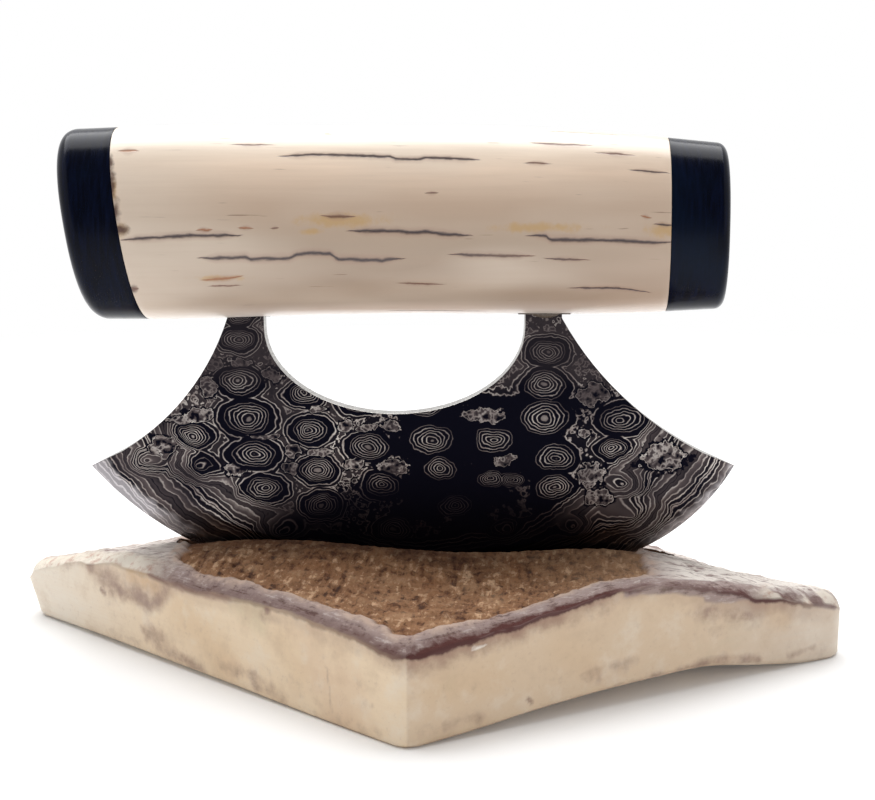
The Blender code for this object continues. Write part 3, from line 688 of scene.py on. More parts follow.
# Values that the stand's mesh carries for its finish, and how the finish holds them
FELT = ("top", "sponge", "pit", "ridge", "bleach", "pale", "inset", "below", "seam", "blot", "tan", "lilac",
        "chalk", "lie")
TOP_VALUES = 7                          # the first so many of them belong to the top alone
Felt = dict[str, NodeSocket]


@dataclass(frozen=True)
class SawnWeatheredBone:
    """Thick old bone: sawn and sanded sides, a weathered outer crust and an open spongy middle.

    It gives smooth cream sides with soft brown stains, painted shade just under the crust and on the
    sides that face away from the light, a dark line under a rough grey-purple crust with painted top
    light towards its crest, and a brown centre of short fibres full of dark pores.
    """

    cream: str = "#ecd5b6"
    pale: str = "#ece2d3"
    blush: str = "#dfc2a3"
    olive: str = "#dccbaa"
    warm: str = "#c8ab8c"
    # brown of the blots and patches, and of the painted shade just under the crust
    shade: str = "#a58570"
    stain: str = "#85675f"
    chalk: str = "#f2eae0"
    tan: str = "#d0a773"
    line: str = "#502019"
    turned: str = "#b89a80"             # of the sides that face away from the light
    crust: str = "#9a8580"
    crust_dark: str = "#664e48"
    crust_light: str = "#c6b7b1"
    ridge: str = "#c9af9e"
    rosy: str = "#cfae9c"
    bleached: str = "#eee6de"
    sponge: str = "#956b49"
    sponge_light: str = "#d3ae8b"
    sponge_dark: str = "#5c351a"
    pore: str = "#32190b"
    # of the sponge within about 13 mm of the slot, strongest towards the left
    slot_side_dark: str = "#4a2513"
    straw: str = "#c29c78"
    rust: str = "#8a5a35"
    # of the sponge, which goes paler towards the right
    sponge_right_pale: str = "#a98a6c"
    lie_front_left: float = -38.5       # direction of the fibres along each pair of sides, degrees
    lie_front_right: float = 26.2
    lie_ends: float = -18.0

    def stretched(self, add: Adder, place: Node, degrees: float, long: float,
                  wide: float, detail: float = 4.0) -> Node:
        """Noise drawn out along a direction in plan."""
        drawn = add("Mapping", place, vector_type="TEXTURE", Scale=(long, wide, wide),
                    Rotation=(0.0, 0.0, math.radians(degrees)))
        return add("TexNoise", drawn, Scale=1.0, Detail=detail, Roughness=0.62)

    def side(self, add: Adder, place: Node, felt: Felt, bark: Node) -> Node:
        """Colour the sawn sides, with painted shade just under the crust and on the sides that face away from
        the light.

        Args:
            add: Adds a node to the material.
            place: Object coordinates in millimetres.
            felt: Values of the mesh by name.
            bark: Plain colour of the crust, which rolls over the edge here and there.

        Returns:
            Their colour.
        """
        cloud = add("TexNoise", place, Scale=0.05, Detail=4.0, Roughness=0.55)
        colour = add("ValToRGB", cloud, stops=(
            (0.30, self.blush), (0.45, self.cream), (0.60, self.cream), (0.72, self.olive)))
        ends = add("Math ABSOLUTE", add("SeparateXYZ", place).outputs["X"])
        saw = add("Mapping", place, Scale=(0.05, 0.05, 1.8))
        saw = add("TexNoise", saw, Scale=1.0, Detail=4.0, Roughness=0.6)
        dapple = add("TexNoise", place, Scale=0.13, Detail=6.0, Roughness=0.66)
        colour = coats(
            add, colour, (add("MapRange SMOOTHSTEP", ends, 44.0, 78.0, 0.0, 0.85), self.pale),
            # painted shade: the sides that face away from the light are darkened
            (add("Math MULTIPLY", felt["lie"], 0.34), self.turned),
            (add("Math MULTIPLY", felt["tan"], 0.55), self.tan),
            (add("MapRange", saw, 0.42, 0.75, 0.0, 0.20), self.blush),
            (add("MapRange", dapple, 0.52, 0.66, 0.0, 0.36), self.pale),
            (add("MapRange", dapple, 0.48, 0.34, 0.0, 0.34), self.warm),
            (patches(add, place, (1.3, 3.0, 0.6), (0.60, 0.74), (0.0, 0.16)), self.shade))
        sway = patches(add, place, (0.30, 4.0, 0.60), (0.3, 0.7), (-1.0, 1.0))
        # Value of the mesh, how much it sways, how it is read, and the colour that it brings
        for name, swing, read, tone in (
                # painted shade: soft brown on the side just under the crust, fading out about 4 mm down
                ("below", 1.1, (4.0, 0.0, 0.0, 0.72), self.shade),
                ("blot", 0.32, (0.08, 0.95, 0.0, 0.66), self.shade),
                ("blot", 0.32, (0.55, 1.30, 0.0, 0.70), self.stain),
                ("lilac", 0.22, (0.12, 0.85, 0.0, 0.9), bark),
                ("below", 0.35, (0.90, 0.10, 0.0, 0.94), self.line)):
            share = add("Math MULTIPLY_ADD", sway, swing, felt[name])
            share = add("MapRange SMOOTHSTEP", share, *read)
            if name == "below":
                share = add("Math MULTIPLY", share, felt["seam"])
            colour = add("Mix RGBA", share, colour, tone)
        chalk = add("MapRange", add("Math MULTIPLY_ADD", sway, 0.30, felt["chalk"]), 0.30, 0.90, 0.0, 0.8)
        return add("Mix RGBA", chalk, colour, self.chalk)

    def bark(self, add: Adder, place: Node, felt: Felt) -> tuple[Node, Node]:
        """Colour the bare crust."""
        lumps = add("TexNoise", place, Scale=0.42, Detail=5.0, Roughness=0.68)
        streak = add("Mix FLOAT", felt["lie"],
                     self.stretched(add, place, self.lie_front_left, 5.0, 0.60),
                     self.stretched(add, place, self.lie_front_right, 5.0, 0.60))
        both = add("Mix FLOAT", 0.55, lumps, streak)
        colour = add("ValToRGB", both, stops=(
            (0.38, self.crust_dark), (0.47, self.crust), (0.54, self.crust), (0.64, self.crust_light)))
        return lumps, colour

    def crusted(self, add: Adder, place: Node, felt: Felt, lumps: Node, colour: Node) -> Node:
        """Colour the weathered crust with its dark, bleached and pale parts, and painted top light towards
        its crest.

        Args:
            add: Adds a node to the material.
            place: Object coordinates in millimetres.
            felt: Values of the mesh by name.
            lumps: The crust's lumps.
            colour: Colour of the bare crust.

        Returns:
            Its colour.
        """
        # painted top light: the crust goes paler, in lumps, away from its outer edge towards its crest
        high = add("MapRange", felt["inset"], 1.2, 5.0, 0.0, 0.45)
        rim = add("Math ADD", add("MapRange", lumps, 0.35, 0.65, -0.5, 0.5), felt["inset"])
        low = add("MapRange SMOOTHSTEP", rim, 2.4, 0.2, 0.0, 0.92)
        ends = self.stretched(add, place, self.lie_ends, 5.0, 0.9)
        return coats(
            add, colour,
            (add("Math MULTIPLY", high, add("MapRange", lumps, 0.38, 0.60, 0.1, 1.0)), self.crust_light),
            (add("Math MULTIPLY", low, felt["seam"]), self.line),
            (add("Math MULTIPLY", felt["bleach"], add("MapRange", ends, 0.37, 0.54)), self.bleached),
            (felt["pale"], add("ValToRGB", lumps, stops=((0.34, self.rosy), (0.50, self.pale)))),
            (add("Math MULTIPLY", felt["ridge"], add("MapRange", lumps, 0.34, 0.56, 0.0, 0.9)), self.ridge))

    def spongy(self, add: Adder, place: Node, felt: Felt) -> Node:
        """Colour the spongy middle.

        Args:
            add: Adds a node to the material.
            place: Object coordinates in millimetres.
            felt: Values of the mesh by name.

        Returns:
            Its colour.
        """
        fibre = self.stretched(add, place, 84.0, 5.6, 1.25, 4.0)
        both = add("Mix FLOAT", 0.45, fibre, add("TexNoise", place, Scale=0.48, Detail=4.0, Roughness=0.62))
        colour = add("ValToRGB", both, stops=(
            (0.36, self.pore), (0.42, self.sponge_dark), (0.485, self.sponge), (0.54, self.sponge),
            (0.61, self.sponge_light)))
        blotch_noise = add("TexNoise", place, Scale=0.10, Detail=3.0, Roughness=0.6)
        sway = add("MapRange", blotch_noise, 0.3, 0.7, -6.0, 6.0)
        split = add("SeparateXYZ", place)
        back = add("Math ADD", add("Math ABSOLUTE", split.outputs["Y"]), sway)
        most = add("MapRange", split.outputs["X"], 0.0, 34.0, 0.62, 0.0)
        cloud = add("TexNoise", place, Scale=0.22, Detail=3.0, Roughness=0.6)
        return coats(
            add, colour, (add("MapRange SMOOTHSTEP", back, 13.0, 3.0, 0.0, most), self.slot_side_dark),
            (add("MapRange", cloud, 0.52, 0.72, 0.0, 0.55), self.straw),
            (add("MapRange", cloud, 0.48, 0.30, 0.0, 0.55), self.sponge_dark),
            (add("MapRange", blotch_noise, 0.52, 0.68, 0.0, 0.45), self.rust),
            (add("MapRange", split.outputs["X"], 18.0, 42.0, 0.0, 0.42), self.sponge_right_pale),
            (add("Math MULTIPLY", felt["pit"], 0.80), self.pore))

    def make(self) -> Material:
        """Build the material of the stand."""
        swatch = Swatch("sawn_weathered_bone")
        add = swatch.add
        place = swatch.millimetres()
        felt = {name: add("Attribute", attribute_name=name).outputs["Fac"] for name in FELT}
        lumps, bark = self.bark(add, place, felt)
        top = add("Mix RGBA", felt["sponge"], self.crusted(add, place, felt, lumps, bark),
                  self.spongy(add, place, felt))
        colour = add("Mix RGBA", felt["top"], self.side(add, place, felt, bark), top)
        rough = add("MapRange", felt["top"], 0.0, 1.0, 0.44, 0.80)
        fine = add("TexNoise", place, Scale=1.6, Detail=6.0, Roughness=0.75)
        fibre = self.stretched(add, place, 84.0, 4.6, 1.0, 5.0)
        grain = add("Mix FLOAT", felt["sponge"], fine, fibre)
        share = add("MapRange", felt["top"], 0.0, 1.0, 0.04, 0.8)
        height = add("Math MULTIPLY", grain, add("Math MULTIPLY_ADD", felt["sponge"], 1.6, share))
        relief = add("Bump", 1.0, 0.40 * MM, Height=height)
        return swatch.surface(add(
            "BsdfPrincipled", Base_Color=colour, Roughness=rough, IOR=1.5, Normal=relief))


def linked_object(name: str, bm: BMesh, *materials: Material) -> Object:
    """Turn a finished bmesh into an object of the scene, and free it."""
    mesh = bpy.data.meshes.new(name)
    bm.to_mesh(mesh)
    bm.free()
    for material in materials:
        mesh.materials.append(material)
    made = bpy.data.objects.new(name, mesh)
    bpy.context.scene.collection.objects.link(made)
    return made


def piece_object(name: str, bm: BMesh, materials: Sequence[Material], body: str,
                 replaces: Iterable[str] = (), sharp: float = 35.0) -> Object:
    """Turn a finished bmesh into a piece that rides on a body.

    Args:
        name: The piece's name.
        bm: Its mesh, which this frees.
        materials: Its finishes, in the order of the faces' material numbers.
        body: Body that it rides on.
        replaces: Nodes that it stands for.
        sharp: Angle in degrees above which an edge stays crisp.

    Returns:
        The new object.
    """
    piece = linked_object(name, bm, *materials)
    piece.data.shade_smooth()
    piece.data.set_sharp_from_angle(angle=math.radians(sharp))
    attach(piece, body)
    for node in replaces:
        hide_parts(node)
    LOG.info("%s: %d faces on %s", name, len(piece.data.polygons), body)
    return piece


def merged_copy(node: Object) -> BMesh:
    """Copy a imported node's mesh, join its loose triangles and put flat faces back together."""
    bm = bmesh.new()
    bm.from_mesh(node.data)
    bmesh.ops.remove_doubles(bm, verts=bm.verts[:], dist=WELD)
    bmesh.ops.dissolve_limit(bm, angle_limit=FLAT, verts=bm.verts[:], edges=bm.edges[:])
    return bm


def ease_edges(bm: BMesh, angle: float, offset: float, segments: int) -> None:
    """Take the sharpness off every edge that turns by more than an angle."""
    edges = [edge for edge in bm.edges
             if len(edge.link_faces) == 2 and edge.calc_face_angle() > math.radians(angle)]
    bmesh.ops.bevel(bm, geom=edges, offset=offset, affect="EDGES", segments=segments, profile=0.5,
                    material=-1, clamp_overlap=True)


def grown_ring(bm: BMesh, loop: Sequence[BMEdge]) -> tuple[set[BMVert], list[BMEdge]]:
    """Grow faces out of a loop of edges, and return the new loop's vertices and edges."""
    grown = bmesh.ops.extrude_edge_only(bm, edges=loop)["geom"]
    fresh = {part for part in grown if isinstance(part, BMVert)}
    return fresh, [part for part in grown if isinstance(part, BMEdge)
                   and all(vert in fresh for vert in part.verts)]


@dataclass
class Blade:
    """The blade: etched faces, ground bevel and bright walls."""

    eased: float = 0.10 * MM            # sharpness taken off every edge
    edge_angle: float = 20.0            # degrees beyond which an edge is one
    wall_slope: float = 0.45            # a face that looks less than this to the front is a wall

    def build(self, nodes: dict[str, Object]) -> None:
        """Build the blade over its node."""
        bm = merged_copy(nodes["blade"])
        ease_edges(bm, self.edge_angle, self.eased, 2)
        for face in bm.faces:
            face.material_index = 1 if abs(face.normal.y) < self.wall_slope else 0
        piece_object("blade_steel", bm, (EtchedPatternSteel().make(), SatinSteelWall().make()),
                     KNIFE_BODY, ("blade",), sharp=10.0)


@dataclass
class Handle:
    """The handle: ivory barrel, two horn caps, and what holds them and the tangs."""

    length: float = 119.6               # millimetres from here on
    middle_x: float = -2.6
    height: float = 35.65
    depth: float = 28.0
    axis: float = 80.0
    power: float = 2.3                  # 2 is an ellipse, more is squarer
    sides: int = 128
    cap_lengths: dict[Side, float] = field(default_factory=lambda: {Side.LEFT: 10.3, Side.RIGHT: 10.7})
    cap_rounds: dict[Side, float] = field(default_factory=lambda: {Side.LEFT: 2.9, Side.RIGHT: 1.6})
    leans: dict[Side, float] = field(default_factory=lambda: {Side.LEFT: 7.4, Side.RIGHT: 0.8})
    turns: dict[Side, float] = field(default_factory=lambda: {Side.LEFT: 1.0, Side.RIGHT: 5.0})
    joint_gap: float = 0.04             # hairline between barrel and cap
    barrel_steps: int = 72
    cap_steps: int = 6                  # along its straight part
    round_steps: int = 12               # and round its end
    barrel_ease: float = 0.12           # sharpness taken off the barrel's ends
    cap_ease: float = 0.10
    mortise_room: float = 0.15          # between bedding and barrel, all round
    mortise_below: float = 6.0          # how far the mortise is cut past the belly
    belly_slack: float = 0.01           # how close to its lowest point the bedding's end is found
    bead_rise: float = 0.75             # of the bedding's end, which the bead takes the place of
    bead_reach: Row = (2.5, 0.62, 0.78)
    bead_front: float = 2.25            # of the bead's middle, ahead of the tang's
    bead_aside: float = 0.2
    bead_lump: float = 0.16
    bead_lump_scale: float = 0.7
    half_heights: Row = (0.490, 0.500, 0.490, 0.485, 0.482, 0.465, 0.427)
    half_depths: Row = (0.485, 0.500, 0.492, 0.478, 0.460, 0.437, 0.410)
    middles: Row = (-0.017, -0.007, 0.0, 0.006, 0.001, -0.014, -0.027)

    def section(self, x: float) -> Row:
        """Half depth, half height and middle height of the handle at a place along it."""
        share = (x - self.middle_x) / self.length + 0.5
        return (self.depth * spline(self.half_depths, share),
                self.height * spline(self.half_heights, share),
                self.axis + self.height * spline(self.middles, share))

    def skin_point(self, x: float, angle: float, lean: float, turn: float, inset: float) -> Vector:
        """Point of the handle's skin on a plane that leans and turns."""
        across, up = math.cos(angle), math.sin(angle)
        place = x
        for _ in range(3):
            half_depth, half_height, middle = self.section(place)
            y = (half_depth - inset) * math.copysign(abs(across) ** (2 / self.power), across)
            z = middle + (half_height - inset) * math.copysign(abs(up) ** (2 / self.power), up)
            place = x - math.tan(math.radians(lean)) * (z - self.axis) + math.tan(math.radians(turn)) * y
        return Vector((place, y, z)) * MM

    def skin(self, stations: Sequence[Row]) -> BMesh:
        """Sweep a closed skin through stations along the handle.

        Args:
            stations: Place, lean, turn and inset of each ring.

        Returns:
            The mesh, with a flat face on both ends.
        """
        bm = bmesh.new()
        angle = bm.verts.layers.float.new("angle")
        station = bm.verts.layers.int.new("station")
        ring = bmesh.ops.create_circle(bm, segments=self.sides, radius=1.0)["verts"]
        for vert in ring:
            vert[angle] = math.atan2(vert.co.y, vert.co.x) + math.pi / self.sides
        first = loop = bm.edges[:]
        for k in range(1, len(stations)):
            fresh, loop = grown_ring(bm, loop)
            for vert in fresh:
                vert[station] = k
        bmesh.ops.contextual_create(bm, geom=first)
        bmesh.ops.contextual_create(bm, geom=loop)
        for vert in bm.verts:
            x, lean, turn, inset = stations[vert[station]]
            vert.co = self.skin_point(x, vert[angle], lean, turn, inset)
        bmesh.ops.recalc_face_normals(bm, faces=bm.faces[:])
        return bm

    def joint(self, side: Side) -> float:
        """Where the barrel meets a cap along the axis, mm."""
        return self.middle_x + side.value * (self.length / 2 - self.cap_lengths[side])

    def build_barrel(self, cutters: Sequence[Object]) -> None:
        """Build the ivory barrel with a mortise for each tang.

        Args:
            cutters: Boxes that the mortises are cut with.
        """
        steps = self.barrel_steps
        ends = [(self.joint(Side.LEFT), self.joint(Side.RIGHT))]
        ends += [(both[Side.LEFT], both[Side.RIGHT]) for both in (self.leans, self.turns)]
        stations = [(*(start + (end - start) * (k / steps) for start, end in ends), 0.0)
                    for k in range(steps + 1)]
        bm = self.skin(stations)
        ease_edges(bm, RIGHT_EDGE, self.barrel_ease * MM, 2)
        barrel = piece_object("barrel_ivory", bm, (PolishedAgedIvory().make(),), KNIFE_BODY,
                              ("handle_barrel",), sharp=25.0)
        for cutter in cutters:
            cut = barrel.modifiers.new(cutter.name, "BOOLEAN")
            cut.operation, cut.solver, cut.object = "DIFFERENCE", "EXACT", cutter
        shaped = bpy.data.meshes.new_from_object(barrel.evaluated_get(bpy.context.evaluated_depsgraph_get()))
        barrel.modifiers.clear()
        barrel.data = shaped
        for cutter in cutters:
            bpy.data.objects.remove(cutter)

    def build_cap(self, side: Side, material: Material) -> None:
        """Build one horn cap."""
        lean, turn, out = self.leans[side], self.turns[side], side.value
        rounding, length, joint = self.cap_rounds[side], self.cap_lengths[side], self.joint(side)
        straight = length - rounding
        step = (straight - self.joint_gap) / self.cap_steps
        stations = [(joint + out * (self.joint_gap + step * k), lean, turn, 0.0)
                    for k in range(self.cap_steps + 1)]
        for k in range(self.round_steps):
            swing = math.pi / 2 * (k + 1) / self.round_steps
            stations.append((joint + out * (straight + rounding * math.sin(swing)), lean, turn,
                             rounding * (1 - math.cos(swing))))
        bm = self.skin(stations)
        ease_edges(bm, RIGHT_EDGE, self.cap_ease * MM, 2)
        word = side.name.lower()
        piece_object(word + "_cap_horn", bm, (material,), KNIFE_BODY, (word + "_end_cap",))

    def mortise(self, bedding: str) -> Object:
        """Box that cuts the mortise which a bedding fills."""
        low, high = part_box(bedding)
        bm = bmesh.new()
        bmesh.ops.create_cube(bm, size=1.0)
        room, below = self.mortise_room * MM, self.mortise_below * MM
        size = high - low + Vector((2 * room, 2 * room, below))
        middle = (low + high) / 2 - Vector((0.0, 0.0, below / 2 - room))
        bmesh.ops.transform(bm, matrix=Matrix.LocRotScale(middle, None, size), verts=bm.verts[:])
        return linked_object(bedding + "_cutter", bm)

    def build_bead(self, node: Object, material: Material) -> None:
        """Build the bedding of the right tang, with the bead of epoxy that shows in front of it."""
        bm = merged_copy(node)
        low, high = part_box("right_tang_bedding")
        for vert in bm.verts:
            if vert.co.z < low.z + self.belly_slack * MM:
                vert.co.z += self.bead_rise * MM
        middle = Vector(((low.x + high.x) / 2 + self.bead_aside * MM, -self.bead_front * MM,
                         low.z + self.bead_reach[2] * MM))
        bead = bmesh.ops.create_uvsphere(bm, u_segments=28, v_segments=16, radius=1.0)["verts"]
        place = Matrix.LocRotScale(middle, None, Vector(self.bead_reach) * MM)
        bmesh.ops.transform(bm, matrix=place, verts=bead)
        for vert in bead:
            vert.co += noise.noise_vector(vert.co / MM * self.bead_lump_scale) * self.bead_lump * MM
        piece_object("right_tang_bead", bm, (material,), KNIFE_BODY, ("right_tang_bedding",))

    def build(self, nodes: dict[str, Object]) -> None:
        """Build the whole handle."""
        self.build_barrel([self.mortise("left_tang_bedding"), self.mortise("right_tang_bedding")])
        horn = BuffedBlackHorn().make()
        for side in Side:
            self.build_cap(side, horn)
        epoxy = SquashedEpoxy().make()
        self.build_bead(nodes["right_tang_bedding"], epoxy)
        brass = DrawnBrassRod().make()
        for name, node in nodes.items():
            if "dowel" in name or name == "left_tang_bedding":
                node.data.materials.clear()
                node.data.materials.append(epoxy if "bedding" in name else brass)


class Tone(Enum):
    """Kind of stain on a sawn side."""

    BROWN = "blot"
    TAN = "tan"
    LILAC = "lilac"
    CHALK = "chalk"


@dataclass(frozen=True)
class Stain:
    """Stain along a line on a sawn side, whose points are (share along the side, height in mm)."""

    side: int
    points: Pairs
    reach: float
    strength: float = 1.0
    tone: Tone = Tone.BROWN

    def at(self, along: float, height: float, length: float) -> float:
        """Strength of the stain at a place on the side."""
        here = Vector((along * length, height))
        places = [Vector((share * length, up)) for share, up in self.points]
        nearest = math.inf
        for start, end in zip(places, places[1:] or places):
            line = end - start
            share = 0.0 if line.length_squared < 1e-9 else min(
                max((here - start).dot(line) / line.length_squared, 0.0), 1.0)
            nearest = min(nearest, (here - start - share * line).length)
        return self.strength * smooth_step(nearest / self.reach, 1.6, 0.1)


STAINS = (
    Stain(0, ((0.16, 13.6), (0.21, 14.4), (0.25, 14.6)), 1.3, 0.55),
    Stain(0, ((0.250, 14.9), (0.285, 13.5), (0.315, 12.4), (0.345, 11.6), (0.385, 11.1), (0.415, 11.2),
          (0.440, 12.2), (0.455, 14.0), (0.470, 16.4)), 2.5, 0.86),
    Stain(0, ((0.28, 13.0), (0.34, 12.0), (0.40, 11.6), (0.43, 12.6)), 3.4, 0.80),
    Stain(0, ((0.276, 10.4), (0.286, 10.0)), 0.75, 1.05),
    Stain(0, ((0.47, 15.9), (0.54, 15.8), (0.62, 16.4)), 1.0, 0.9), Stain(0, ((0.712, 16.4),), 0.9, 1.3),
    Stain(0, ((0.70, 15.4), (0.74, 15.0)), 1.1, 0.45),
    Stain(0, ((0.405, 4.8), (0.43, 5.0), (0.46, 3.8)), 2.3, 0.62),
    Stain(0, ((0.44, 3.0), (0.50, 2.0), (0.545, 1.2)), 1.6, 0.72),
    Stain(0, ((0.60, 3.4), (0.66, 3.6), (0.72, 2.4)), 1.6, 0.50),
    Stain(0, ((0.68, 2.2), (0.74, 1.6)), 1.3, 0.65), Stain(0, ((0.86, 1.2), (0.95, 1.3)), 1.0, 0.40),
    Stain(0, ((0.30, 2.0), (0.38, 2.4)), 1.0, 0.35),
    Stain(0, ((0.840, 9.8), (0.846, 6.4), (0.850, 2.2)), 0.30, 0.60), Stain(0, ((0.936, 5.6),), 0.6, 0.5),
    Stain(0, ((0.42, 16.6), (0.47, 16.0), (0.53, 15.9)), 1.0, 1.1),
    Stain(0, ((0.37, 15.4), (0.425, 14.6)), 2.4, 1.0, Tone.TAN),
    Stain(0, ((0.50, 11.0), (0.56, 8.0), (0.60, 5.0)), 4.0, 0.55, Tone.TAN),
    Stain(0, ((0.74, 12.0), (0.78, 7.0)), 3.0, 0.35, Tone.TAN),
    Stain(1, ((0.075, 3.2), (0.11, 3.4), (0.14, 2.8)), 1.1, 0.50),
    Stain(1, ((0.236, 4.6), (0.242, 3.9)), 0.55, 1.05),
    Stain(1, ((0.35, 6.4), (0.40, 7.4), (0.43, 7.2), (0.46, 8.0)), 1.4, 0.45),
    Stain(1, ((0.38, 5.2),), 1.0, 0.5),
    Stain(1, ((0.42, 2.6), (0.50, 3.1), (0.57, 3.6), (0.62, 4.3), (0.68, 4.0), (0.74, 2.7)), 1.3, 0.80),
    Stain(1, ((0.60, 14.0), (0.66, 13.0), (0.74, 11.8)), 2.6, 0.62),
    Stain(1, ((0.64, 10.4), (0.74, 9.8)), 2.0, 0.40),
    Stain(1, ((0.44, 19.9), (0.50, 19.6), (0.55, 18.9), (0.60, 17.6), (0.64, 16.6)), 1.0, 1.0, Tone.LILAC),
    Stain(1, ((0.62, 16.6), (0.66, 15.9), (0.72, 15.8)), 1.2, 1.2, Tone.LILAC),
    Stain(1, ((0.80, 14.4), (0.84, 13.2), (0.88, 12.4)), 1.0, 1.1, Tone.LILAC),
    Stain(1, ((0.88, 11.6), (0.93, 10.2)), 0.8, 0.9, Tone.LILAC), Stain(1, ((0.80, 12.2),), 1.4, 0.6),
    Stain(1, ((0.82, 2.2), (0.85, 2.5), (0.88, 3.2)), 0.9, 0.60),
    Stain(1, ((0.76, 9.0), (0.82, 8.4)), 1.4, 0.30),
    Stain(1, ((0.06, 9.0), (0.16, 9.6)), 3.5, 0.35, Tone.TAN),
    Stain(1, ((0.77, 11.4), (0.80, 9.6)), 2.2, 0.55, Tone.TAN),
    Stain(1, ((0.30, 12.0), (0.36, 9.0)), 3.0, 0.25, Tone.TAN),
    Stain(1, ((0.124, 14.9), (0.150, 15.2)), 0.34, 1.0, Tone.CHALK),
    Stain(2, ((0.12, 13.0), (0.20, 12.0), (0.30, 13.4)), 1.3, 0.9),
    Stain(2, ((0.40, 3.6), (0.52, 2.6)), 1.2, 0.8), Stain(2, ((0.60, 9.0), (0.63, 7.4)), 1.4, 0.6),
    Stain(2, ((0.78, 3.0), (0.86, 2.4)), 1.1, 0.8), Stain(2, ((0.35, 9.0), (0.55, 10.0)), 4.0, 0.6, Tone.TAN),
    Stain(3, ((0.10, 4.0), (0.20, 4.6)), 1.2, 0.8),
    Stain(3, ((0.32, 13.0), (0.40, 12.0), (0.48, 13.2)), 1.3, 0.9),
    Stain(3, ((0.55, 5.4), (0.60, 4.6)), 1.2, 0.7), Stain(3, ((0.74, 9.4), (0.82, 8.6)), 1.2, 0.8),
    Stain(3, ((0.25, 9.0), (0.45, 8.0)), 3.5, 0.5, Tone.TAN),
)


Layers = dict[str, BMLayerItem]


